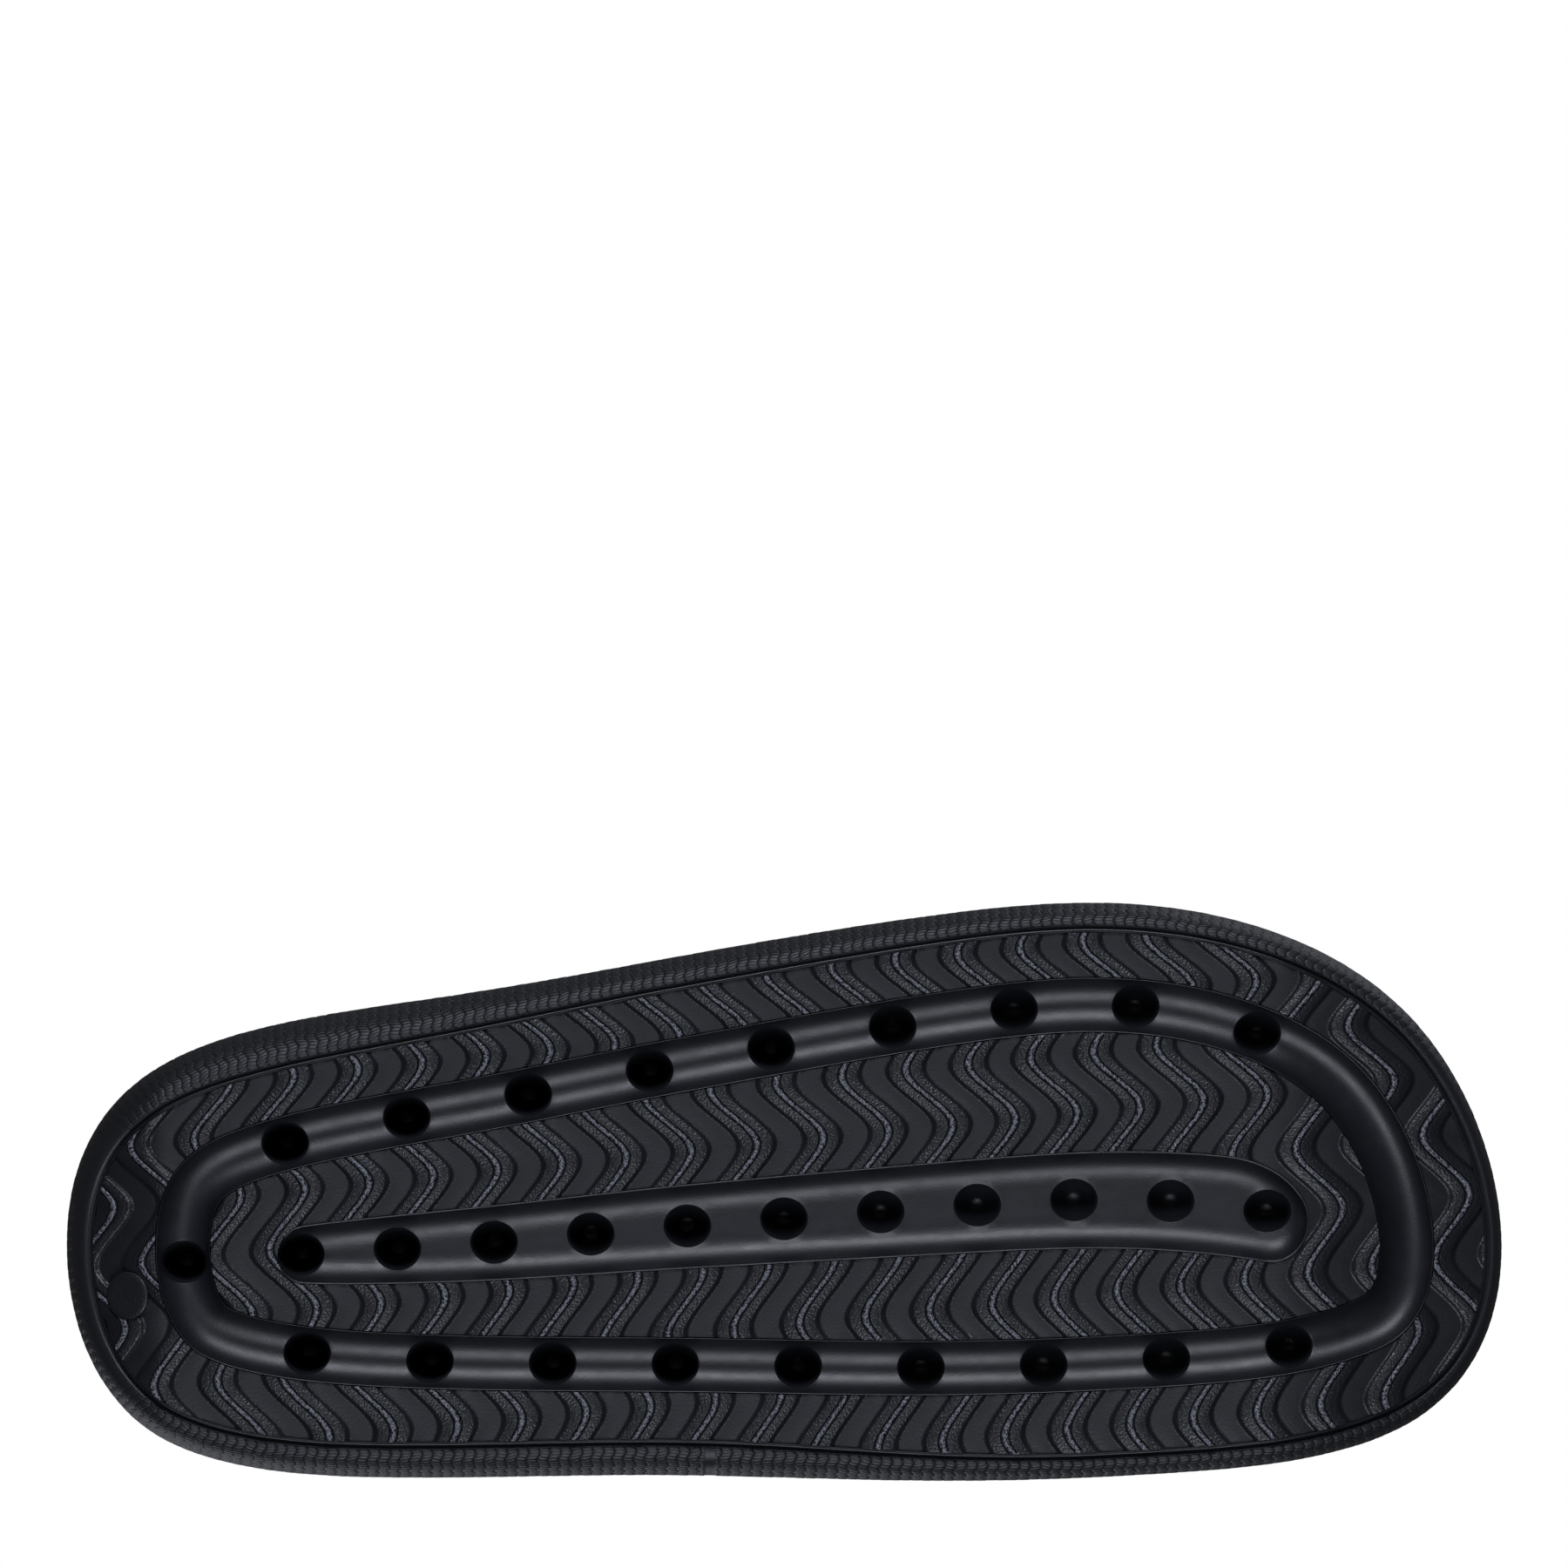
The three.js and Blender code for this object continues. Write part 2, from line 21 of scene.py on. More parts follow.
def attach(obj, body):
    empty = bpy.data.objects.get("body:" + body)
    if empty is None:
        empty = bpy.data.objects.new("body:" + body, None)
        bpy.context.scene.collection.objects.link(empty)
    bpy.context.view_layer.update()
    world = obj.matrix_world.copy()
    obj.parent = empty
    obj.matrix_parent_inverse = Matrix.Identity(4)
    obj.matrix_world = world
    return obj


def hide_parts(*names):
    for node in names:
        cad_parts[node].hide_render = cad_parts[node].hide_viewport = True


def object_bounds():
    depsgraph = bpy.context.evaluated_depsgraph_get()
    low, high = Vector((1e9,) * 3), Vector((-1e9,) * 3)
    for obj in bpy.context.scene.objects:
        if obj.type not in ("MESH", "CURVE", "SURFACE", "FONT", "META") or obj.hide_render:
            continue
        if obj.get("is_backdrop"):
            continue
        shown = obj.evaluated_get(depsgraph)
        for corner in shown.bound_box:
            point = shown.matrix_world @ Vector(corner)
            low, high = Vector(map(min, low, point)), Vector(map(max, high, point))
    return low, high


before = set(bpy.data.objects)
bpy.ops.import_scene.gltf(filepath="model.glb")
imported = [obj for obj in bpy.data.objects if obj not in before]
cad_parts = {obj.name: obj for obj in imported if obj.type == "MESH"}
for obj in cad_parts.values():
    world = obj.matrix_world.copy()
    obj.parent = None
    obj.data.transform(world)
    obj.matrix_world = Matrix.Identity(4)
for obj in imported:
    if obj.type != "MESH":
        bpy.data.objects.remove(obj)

LOG = logging.getLogger("sole_unit")
MM = 0.001  # metres in a millimetre
ROOT = "root"  # the one body of a bonded sole
BAND_COLUMN = 2.0  # width of one column of the band's weave
BAND_SWAY = 0.14  # how far a column sways from side to side, as a share of its width
BAND_SWAY_RATE = 1.9  # radians of that sway per millimetre up the wall
STATIONS = (0.1, 0.42, 0.72, 1.0)  # heel, waist, ball and toe, as shares of the length

Array = np.ndarray


# ---------------------------------------------------------------- small maths


def mix(a: Any, b: Any, share: Any) -> Any:
    """Linear blend from a to b."""
    return a + (b - a) * share


def ease(low: float, high: float, value: Any) -> Array:
    """Smooth step from 0 at low to 1 at high."""
    t = np.clip((np.asarray(value, float) - low) / (high - low), 0.0, 1.0)
    return t * t * (3.0 - 2.0 * t)


def along_sole(values: Sequence[float], share: Array) -> Array:
    """Eased value at a share of the length.

    Args:
        values: at the heel, the waist, the ball and, if there is a fourth, the toe.
        share: where the value is wanted, from 0 at the heel to 1 at the toe.

    Returns:
        The value at each share.
    """
    value = np.full_like(np.asarray(share, float), values[0])
    for low, high, following in zip(STATIONS, STATIONS[1:], values[1:]):
        value = mix(value, following, ease(low, high, share))
    return value


def loop_normals(loop: Array) -> Array:
    """Outward unit normals of a closed counter-clockwise loop.

    Args:
        loop: its points (n, 2).

    Returns:
        A normal at each point.
    """
    along = np.roll(loop, -1, 0) - np.roll(loop, 1, 0)
    normals = np.stack([along[:, 1], -along[:, 0]], 1)
    return normals / np.linalg.norm(normals, axis=1, keepdims=True)


def resample(loop: Array, count: int) -> Array:
    """A closed loop with its points spaced evenly.

    Args:
        loop: the loop's points.
        count: how many points it gets.

    Returns:
        The new points (count, 2).
    """
    closed = np.vstack([loop, loop[:1]])
    along = np.concatenate([[0.0], np.cumsum(np.linalg.norm(np.diff(closed, axis=0), axis=1))])
    at = np.linspace(0.0, along[-1], count, endpoint=False) + along[-1] / count / 2
    return np.stack([np.interp(at, along, closed[:, k]) for k in (0, 1)], 1)


def distance_to(points: Array, loop: Array) -> Array:
    """Signed distance of points to a loop.

    Args:
        points: (n, 2).
        loop: a closed counter-clockwise loop.

    Returns:
        The distance of each point, positive inside the loop.
    """
    following = np.roll(loop, -1, 0)
    normals = loop_normals(loop)
    out = np.empty(len(points))
    batch = 4000  # points at a time, to keep the table of distances small
    for start in range(0, len(points), batch):
        part = points[start:start + batch]
        nearest = ((part[:, None, :] - loop[None]) ** 2).sum(2).argmin(1)
        best = np.full(len(part), np.inf)
        for first in (nearest, nearest - 1):
            a, b = loop[first], following[first]
            edge = b - a
            t = np.clip(((part - a) * edge).sum(1) / (edge ** 2).sum(1), 0.0, 1.0)
            best = np.minimum(best, np.linalg.norm(part - a - edge * t[:, None], axis=1))
        side = ((part - loop[nearest]) * normals[nearest]).sum(1)
        out[start:start + batch] = np.where(side <= 0, best, -best)
    return out


# ---------------------------------------------------------------- the sole's lines and surfaces


@dataclass(frozen=True)
class Around:
    """A distance that changes round the sole: at its ends, and along each side at heel, waist and ball."""

    heel: float
    toe: float
    lateral: tuple[float, ...]
    medial: tuple[float, ...]

    def at(self, share: Array, normals: Array) -> Array:
        """The distance at points of the outline.

        Args:
            share: where each point lies, as a share of the length.
            normals: which way the outline faces there.

        Returns:
            The distance at each point.
        """
        side = np.where(normals[:, 1] < 0, along_sole(self.lateral, share), along_sole(self.medial, share))
        return mix(side, np.where(normals[:, 0] < 0, self.heel, self.toe), normals[:, 0] ** 2)


@dataclass
class SoleForm:
    """The outline of the sole and the surfaces that all its pieces follow."""

    length: float
    width: float
    tread_inset: Around = Around(5.4, 3.4, (8.5, 5.9, 5.2), (7.0, 7.1, 4.9))
    ring_inset: Around = Around(22.7, 18.4, (21.9, 19.8, 19.0), (23.4, 21.3, 21.8))
    heights: tuple[float, ...] = (44.0, 38.0, 32.0, 36.0)
    dish_depths: tuple[float, ...] = (9.0, 7.5, 5.0)
    heel_bevel: tuple[float, ...] = (19.0, 0.56, 4.0)  # length, slope, softness of its start
    toe_spring: tuple[float, ...] = (44.0, 0.34, 12.0)
    cove_width: float = 1.2
    cove_rise: float = 2.0
    top_inset: float = 4.5
    rim_width: float = 3.0
    dish_side: float = 15.0
    squareness: float = 2.6
    widest_share: float = 0.45
    gutter_radius: float = 4.9
    gutter_edge: float = 0.3
    lip: float = 0.25  # width of a gutter's rounded lip, beside the tread
    fine: Array = field(init=False, repr=False)

    CONTROLS = (
        (1.023, 0.092), (0.965, 0.451), (0.752, 0.493), (0.597, 0.506), (0.403, 0.485), (0.246, 0.503),
        (0.025, 0.481), (-0.019, 0.025), (0.051, -0.269), (0.273, -0.334), (0.426, -0.407), (0.61, -0.485),
        (0.776, -0.521), (0.951, -0.358),
    )
    FINE_POINTS = 2800

    def __post_init__(self) -> None:
        """Draws the outline once, finely, starting at the back of the heel."""
        controls = np.array(self.CONTROLS)
        at = np.linspace(0, len(controls), self.FINE_POINTS, endpoint=False)
        span, t = np.floor(at).astype(int), (at % 1.0)[:, None]
        weights = ((1 - t) ** 3, 3 * t ** 3 - 6 * t ** 2 + 4, -3 * t ** 3 + 3 * t ** 2 + 3 * t + 1, t ** 3)
        loop = sum(w / 6 * controls[(span + k) % len(controls)] for k, w in enumerate(weights))
        loop = np.roll(loop, -int(loop[:, 0].argmin()), axis=0)
        low, high = loop.min(0), loop.max(0)
        self.fine = (loop - (low + high) / 2) / (high - low) * (self.length, self.width)

    def share(self, x: Array) -> Array:
        """How far along the sole a station is, from 0 at the heel to 1 at the toe."""
        return x / self.length + 0.5

    def rise(self, x: Array) -> Array:
        """Height of the underside above the ground.

        Args:
            x: stations along the sole.

        Returns:
            The height at each station.
        """
        total = np.zeros_like(x)
        into = (self.heel_bevel[0] - x - self.length / 2, self.toe_spring[0] - self.length / 2 + x)
        for run, (_, slope, soft) in zip(into, (self.heel_bevel, self.toe_spring)):
            run = np.maximum(run, 0.0)
            total = total + slope * run * run / (run + soft)
        return total

    def wall_top(self, x: Array) -> Array:
        """Height of the side wall's top above the ground."""
        return along_sole(self.heights, self.share(x))

    def dish(self, x: Array) -> Array:
        """Depth of the insole's dish below the wall's top."""
        return along_sole(self.dish_depths, self.share(x))

    def line(self, inset: Any, extra: float = 0.0, count: int = 900) -> Array:
        """A closed line inside the outline.

        Args:
            inset: an Around, or one distance for the whole way round.
            extra: a further distance inwards.
            count: how many points it has.

        Returns:
            The line's points, counter-clockwise from the heel.
        """
        base = resample(self.fine, count)
        normals = loop_normals(base)
        deep = inset.at(self.share(base[:, 0]), normals) if isinstance(inset, Around) else inset
        return base - normals * (np.asarray(deep) + extra).reshape(-1, 1)

    def wall(self, turn: float, depth: float, count: int, tuck: float = 0.0) -> Array:
        """A line round the side wall, in space.

        Args:
            turn: 0 at the wall's lower edge, pi at its top edge.
            depth: how far inside the wall's outer face.
            count: how many points it has.
            tuck: a further distance inwards at the same height.

        Returns:
            Points (count, 3).
        """
        power = 2.0 / self.squareness
        out = max(math.sin(turn), 0.0) ** power
        up = -math.copysign(abs(math.cos(turn)) ** power, math.cos(turn))
        base = resample(self.fine, count)
        normals = loop_normals(base)
        lower = np.maximum(self.tread_inset.at(self.share(base[:, 0]), normals) - self.cove_width, 0.0)
        reach = lower if up < 0 else np.full(count, self.top_inset)
        flat = base - normals * (reach * (1 - out) + depth + tuck)[:, None]
        foot, top = self.rise(flat[:, 0]) + self.cove_rise, self.wall_top(flat[:, 0])
        widest = mix(foot, top, self.widest_share)
        span = (widest - foot) if up < 0 else (top - widest)
        return np.column_stack([flat, widest + up * (span - depth)])

    def ring_line(self, aside: float = 0.0, count: int = 620) -> Array:
        """The ring gutter's centre line, or a line at a distance outside it."""
        centre = self.line(self.ring_inset, 0.0, count)
        return centre + loop_normals(centre) * aside

    def ring_across(self, x: Array, side: int) -> Array:
        """Where the ring gutter crosses some stations.

        Args:
            x: the stations.
            side: -1 for its lateral arm, +1 for its medial arm.

        Returns:
            Its place across the sole at each station.
        """
        centre = self.ring_line()
        half = len(centre) // 2
        arm = centre[:half] if side < 0 else centre[half:][::-1]
        return np.interp(x, arm[:, 0], arm[:, 1])

    def footbed(self, x: Array, inside: Array, drop: float) -> Array:
        """Height of a dished surface under the foot.

        Args:
            x: the stations.
            inside: distance of each point inside the surface's edge.
            drop: how far the surface lies below the insole's top face.

        Returns:
            The height at each point.
        """
        share = np.clip(inside / self.dish_side, 0.0, 1.0)
        return self.wall_top(x) - drop - self.cove_rise / 2 - (1 - (1 - share) ** 2) * self.dish(x)


@dataclass
class MiddleGutter:
    """The tapered gutter down the middle of the sole."""

    form: SoleForm
    start_margin: float = 40.7
    end_margin: float = 37.2
    heel_half: float = 4.1
    toe_half: float = 9.3
    taper: float = 0.42
    depth: float = 5.0
    lateral_corner: float = 15.0
    medial_corner: float = 8.0
    offsets: tuple[float, ...] = (1.2, 3.7)
    side_runs: tuple[float, float] = (3.0, 5.2)  # least and greatest width of its curved side
    side_share: float = 0.86  # that width is this share of half the gutter's, and a little more
    side_extra: float = 0.8

    def ends(self) -> tuple[float, float]:
        """Stations of its heel end and its toe end."""
        return self.start_margin - self.form.length / 2, self.form.length / 2 - self.end_margin

    def middle(self, x: Array) -> Array:
        """Its centre line: midway between the ring's arms, and a little medial.

        Args:
            x: stations along the sole.

        Returns:
            Its place across the sole at each station.
        """
        at = np.clip(x, *self.ends())
        between = (self.form.ring_across(at, -1) + self.form.ring_across(at, 1)) / 2
        return between + mix(*self.offsets, self.form.share(at))

    def half_width(self, x: Array, corner: float) -> Array:
        """Half its width.

        Args:
            x: the stations.
            corner: length over which the toe end is rounded.

        Returns:
            Half the width at each station.
        """
        start, end = self.ends()
        body = mix(self.heel_half, self.toe_half, ((x - start) / (end - start)) ** self.taper)
        into_heel = np.maximum(0.0, 1 - (x - start) / self.heel_half)
        into_toe = np.maximum(0.0, 1 - (end - x) / corner)
        return body * np.sqrt(np.maximum((1 - into_heel ** 2) * (1 - into_toe ** 2), 0.0))

    def edge(self, count: int = 460) -> Array:
        """Its outline on the underside.

        Args:
            count: how many points it has.

        Returns:
            The outline, counter-clockwise.
        """
        turn = np.linspace(0.0, math.pi, 1200)
        x = mix(*self.ends(), (1 - np.cos(turn)) / 2)
        lateral = np.column_stack([x, self.middle(x) - self.half_width(x, self.lateral_corner)])
        medial = np.column_stack([x, self.middle(x) + self.half_width(x, self.medial_corner)])
        return resample(np.vstack([lateral, medial[::-1][1:-1]]), count)

    def floor_at(self, inside: Array, x: Array) -> Array:
        """Depth of its floor.

        Args:
            inside: distance of each point inside its outline.
            x: the station of each point.

        Returns:
            The depth below the tread at each point.
        """
        half = self.half_width(np.clip(x, *self.ends()), self.medial_corner)
        share = np.clip(inside / np.clip(self.side_share * half + self.side_extra, *self.side_runs), 0.0, 1.0)
        return self.form.gutter_edge + self.depth * np.sqrt(1 - (1 - share) ** 2)


# ---------------------------------------------------------------- building meshes


class PlanarMesh:
    """Points and fixed lines in the plane that are triangulated together."""

    def __init__(self) -> None:
        """Starts empty."""
        self.points: list[Array] = []
        self.edges: list[Array] = []
        self.count = 0

    def add(self, points: Array, closed: Optional[bool] = None, keep: Optional[Array] = None) -> None:
        """Adds points, joined into a line unless closed is None.

        Args:
            points: (n, 2).
            closed: whether the line's ends join; None adds loose points.
            keep: which points to use; the line is broken where one is left out.
        """
        keep = np.ones(len(points), bool) if keep is None else keep
        numbers = np.cumsum(keep) - 1 + self.count
        if closed is not None:
            first = np.arange(len(points) - (0 if closed else 1))
            second = (first + 1) % len(points)
            both = keep[first] & keep[second]
            self.edges.append(np.column_stack([numbers[first[both]], numbers[second[both]]]))
        self.points.append(points[keep])
        self.count += int(keep.sum())

    def triangulate(self, inside: Callable[[Array], Array]) -> tuple[Array, Array]:
        """Triangles over the points.

        Args:
            inside: says which triangle centres belong to the surface.

        Returns:
            Points (n, 2) and counter-clockwise triangles (m, 3).
        """
        points = np.vstack(self.points)
        edges = np.vstack(self.edges).tolist() if self.edges else []
        made = delaunay_2d_cdt([Vector(p) for p in points], edges, [], 0, 1e-4, False)
        xy = np.array([v[:] for v in made[0]])
        triangles = np.array(made[2])
        middles = xy[triangles].mean(1)
        triangles = triangles[inside(middles)]
        used, triangles = np.unique(triangles, return_inverse=True)
        return xy[used], triangles.reshape(-1, 3)


def make_piece(name: str, points: Array, faces: Sequence, sharp_degrees: float = 38.0) -> bpy.types.Object:
    """A smooth-shaded object from points in millimetres.

    Args:
        name: the piece's name.
        points: (n, 3) in millimetres.
        faces: vertex numbers of each face.
        sharp_degrees: edges that turn more than this are left sharp.

    Returns:
        The object, linked to the scene.
    """
    mesh = bpy.data.meshes.new(name)
    mesh.from_pydata((points * MM).tolist(), [], [list(map(int, f)) for f in faces])
    mesh.validate()
    mesh.shade_smooth()
    mesh.set_sharp_from_angle(angle=math.radians(sharp_degrees))
    piece = bpy.data.objects.new(name, mesh)
    bpy.context.scene.collection.objects.link(piece)
    return piece


def skin(rows: int, size: int, start: int = 0, closed: bool = True) -> Array:
    """Quads between rows of equal size that follow each other in the vertex list.

    Args:
        rows: how many rows there are.
        size: how many points a row has.
        start: the number of the first row's first point.
        closed: whether each row is a loop.

    Returns:
        Vertex numbers (m, 4).
    """
    columns = np.arange(size if closed else size - 1)
    following = (columns + 1) % size
    quads = [
        np.column_stack([low + columns, low + following, low + size + following, low + size + columns])
        for low in start + np.arange(rows - 1) * size
    ]
    return np.vstack(quads)


def strip_cap(start: int, size: int, flip: bool) -> Array:
    """Closes a row whose point i faces point size-1-i.

    Args:
        start: the number of the row's first point.
        size: how many points the row has.
        flip: whether the strip faces the other way.

    Returns:
        Vertex numbers (m, 4).
    """
    i = np.arange(size // 2 - 1)
    quads = np.column_stack([start + i, start + i + 1, start + size - 2 - i, start + size - 1 - i])
    return quads[:, ::-1] if flip else quads


def closed_slab(xy: Array, triangles: Array, low: Array, high: Array) -> tuple[Array, Array]:
    """A closed body between two height fields over the same triangles.

    Args:
        xy: (n, 2) points.
        triangles: counter-clockwise triangles.
        low: height of the lower face at each point.
        high: height of the upper face at each point.

    Returns:
        Points (2n, 3) and triangles.
    """
    n = len(xy)
    edges = np.concatenate([triangles[:, [0, 1]], triangles[:, [1, 2]], triangles[:, [2, 0]]])
    key = np.sort(edges, 1)
    _, first, uses = np.unique(key, axis=0, return_index=True, return_counts=True)
    rim = edges[first[uses == 1]]
    a, b = rim[:, 0], rim[:, 1]
    walls = np.concatenate([np.column_stack([a, b, b + n]), np.column_stack([a, b + n, a + n])])
    points = np.vstack([np.column_stack([xy, low]), np.column_stack([xy, high])])
    return points, np.concatenate([triangles[:, ::-1], triangles + n, walls])


def set_attribute(piece: bpy.types.Object, name: str, values: Array) -> None:
    """Stores values at a piece's vertices for its material to read.

    Args:
        piece: the piece.
        name: the attribute's name.
        values: a number for each vertex, or three of them as a vector.
    """
    wide = values.ndim == 2
    made = piece.data.attributes.new(name, "FLOAT_VECTOR" if wide else "FLOAT", "POINT")
    made.data.foreach_set("vector" if wide else "value", values.astype(np.float32).ravel())


# ---------------------------------------------------------------- materials


def hex_colour(text: str) -> tuple[float, float, float, float]:
    """Linear RGBA from an sRGB hex value such as '#1c1d21'.

    Args:
        text: the hex value.

    Returns:
        Red, green, blue and a full alpha.
    """
    srgb = [int(text[i:i + 2], 16) / 255 for i in (1, 3, 5)]
    linear = [c / 12.92 if c <= 0.04045 else ((c + 0.055) / 1.055) ** 2.4 for c in srgb]
    return (*linear, 1.0)


class NodeBook:
    """The node tree of a material or a world, empty to start with."""

    def __init__(self, owner: bpy.types.ID) -> None:
        """Takes over the owner's node tree.

        Args:
            owner: the material or the world.
        """
        owner.use_nodes = True
        self.owner = owner
        self.tree = owner.node_tree
        self.tree.nodes.clear()

    def add(self, kind: str, inputs: Any = (), **settings: Any) -> bpy.types.Node:
        """Adds a node with its settings and links.

        Args:
            kind: Blender's node type, without its first word ShaderNode.
            inputs: what its sockets get, in order or by name or number: a value, an output to link, or a
                node whose first output to link.
            **settings: its properties.

        Returns:
            The node.
        """
        node = self.tree.nodes.new("ShaderNode" + kind)
        for key, value in settings.items():
            setattr(node, key, value)
        for key, value in inputs.items() if isinstance(inputs, dict) else enumerate(inputs):
            value = value.outputs[0] if isinstance(value, bpy.types.Node) else value
            if isinstance(value, bpy.types.NodeSocket):
                self.tree.links.new(value, node.inputs[key])
            else:
                node.inputs[key].default_value = value
        return node


def speckle(book: NodeBook, spacing_mm: float, detail: float) -> bpy.types.Node:
    """An uneven pattern that is fixed to the piece.

    Args:
        book: the material's node tree.
        spacing_mm: how far apart its features are.
        detail: how many finer layers it has.

    Returns:
        A node whose first output runs from 0 to 1.
    """
    place = book.add("TexCoord").outputs["Object"]
    inputs = {"Vector": place, "Scale": 1.0 / (spacing_mm * MM), "Detail": detail, "Roughness": 0.55}
    return book.add("TexNoise", inputs)


def two_tone(book: NodeBook, share: Any, span: tuple[float, float], dark: str,
             light: str) -> bpy.types.NodeSocket:
    """A colour between two.

    Args:
        book: the material's node tree.
        share: the node or output that chooses between them.
        span: its values at which the colour is all dark and all light.
        dark: hex value of the dark colour.
        light: hex value of the light colour.

    Returns:
        The output with the colour.
    """
    ends = {6: hex_colour(dark), 7: hex_colour(light)}
    return book.add("Mix", {0: book.add("MapRange", (share, *span)), **ends}, data_type="RGBA").outputs[2]


class Grain(Enum):
    """A moulded surface's grain: its spacing and its height, in millimetres.

    The real grains are about 0.15 mm apart, too fine to show, and are drawn three times as coarse.
    """

    SATIN = (0.45, 0.05)
    ETCHED = (0.45, 0.26)

    @property
    def spacing(self) -> float:
        """How far apart its tips are."""
        return self.value[0]

    @property
    def height(self) -> float:
        """How high its tips are, in metres as the bump node takes it."""
        return self.value[1] * MM


@dataclass(frozen=True)
class MouldedFoam:
    """EVA foam with the satin skin that a polished steel mould leaves."""

    dark: str = "#101216"
    light: str = "#16181d"
    roughness: float = 0.42
    mottle_mm: float = 9.0
    smear: float = 0.16  # how much the gloss varies from place to place
    smear_mm: float = 3.0

    def make(self) -> bpy.types.Material:
        """Builds the material.

        Returns:
            The material, ready for a piece.
        """
        book = NodeBook(bpy.data.materials.new("eva_foam_moulded_satin"))
        # The skin gives broad soft highlights along the gutters; its fine grain only breaks up their edges.
        colour = two_tone(book, speckle(book, self.mottle_mm, 4.0), (0.3, 0.75), self.dark, self.light)
        fine = speckle(book, Grain.SATIN.spacing, 2.0)
        smeared = speckle(book, self.smear_mm, 4.0)
        rough = book.add("Math", (smeared, self.smear, self.roughness - 0.06), operation="MULTIPLY_ADD")
        bump = book.add("Bump", {"Strength": 0.55, "Distance": Grain.SATIN.height, "Height": fine})
        sockets = {"Base Color": colour, "Roughness": rough, "Normal": bump, "IOR": 1.49}
        shader = book.add("BsdfPrincipled", sockets)
        book.add("OutputMaterial", (shader,))
        return book.owner


@dataclass(frozen=True)
class EtchedTread:
    """Blown rubber from an etched mould, with a coarser grain on the bead of each rib, and a painted glint on
    that grain's tips.
    """

    dark: str = "#101216"
    light: str = "#17191d"
    # Colour of the painted glint on the bead's grain tips.
    glint_colour: str = "#6a6d75"
    mottle_mm: float = 6.0
    rib_roughness: float = 0.32
    valley_roughness: float = 0.38
    valley_grain: float = 0.15  # height of the grain in a valley, as a share of its height on a rib
    rib_grain: float = 0.85

    def make(self) -> bpy.types.Material:
        """Builds the material.

        Returns:
            The material, ready for a piece.
        """
        book = NodeBook(bpy.data.materials.new("blown_rubber_etched_mould"))
        # The etching makes the ribs sparkle with grain and leaves the valleys flat and even. The pale tips on
        # each
        # bead are a painted glint: light caught by the upper part of the grain, put into its colour, and only
        # on a bead.
        on_rib = book.add("Attribute", attribute_name="on_rib").outputs["Fac"]
        rubber = two_tone(book, speckle(book, self.mottle_mm, 5.0), (0.3, 0.75), self.dark, self.light)
        grain = speckle(book, Grain.ETCHED.spacing, 1.5)
        # Painted glint: the upper part of the grain on a bead turns pale, as if it caught the light.
        tips = book.add("MapRange", (grain, 0.398, 1.0, 0.0, 2.65))
        bead = book.add("MapRange", (on_rib, 0.75, 1.9, 0.0, 1.15))
        pale = book.add("Math", (tips, bead), operation="MULTIPLY", use_clamp=True)
        colour = book.add("Mix", {0: pale, 6: rubber, 7: hex_colour(self.glint_colour)}, data_type="RGBA").outputs[2]
        coarse = book.add("Math", (on_rib, self.rib_grain, self.valley_grain), operation="MULTIPLY_ADD")
        height = book.add("Math", (grain, coarse), operation="MULTIPLY")
        bump = book.add("Bump", {"Strength": 0.8, "Distance": Grain.ETCHED.height, "Height": height})
        spread = self.rib_roughness - self.valley_roughness
        even = book.add("Math", (on_rib, spread, self.valley_roughness), operation="MULTIPLY_ADD")
        rough = book.add("Math", (grain, 0.12, even), operation="MULTIPLY_ADD")
        sockets = {"Base Color": colour, "Roughness": rough, "Normal": bump, "IOR": 1.5}
        shader = book.add("BsdfPrincipled", sockets)
        book.add("OutputMaterial", (shader,))
        return book.owner


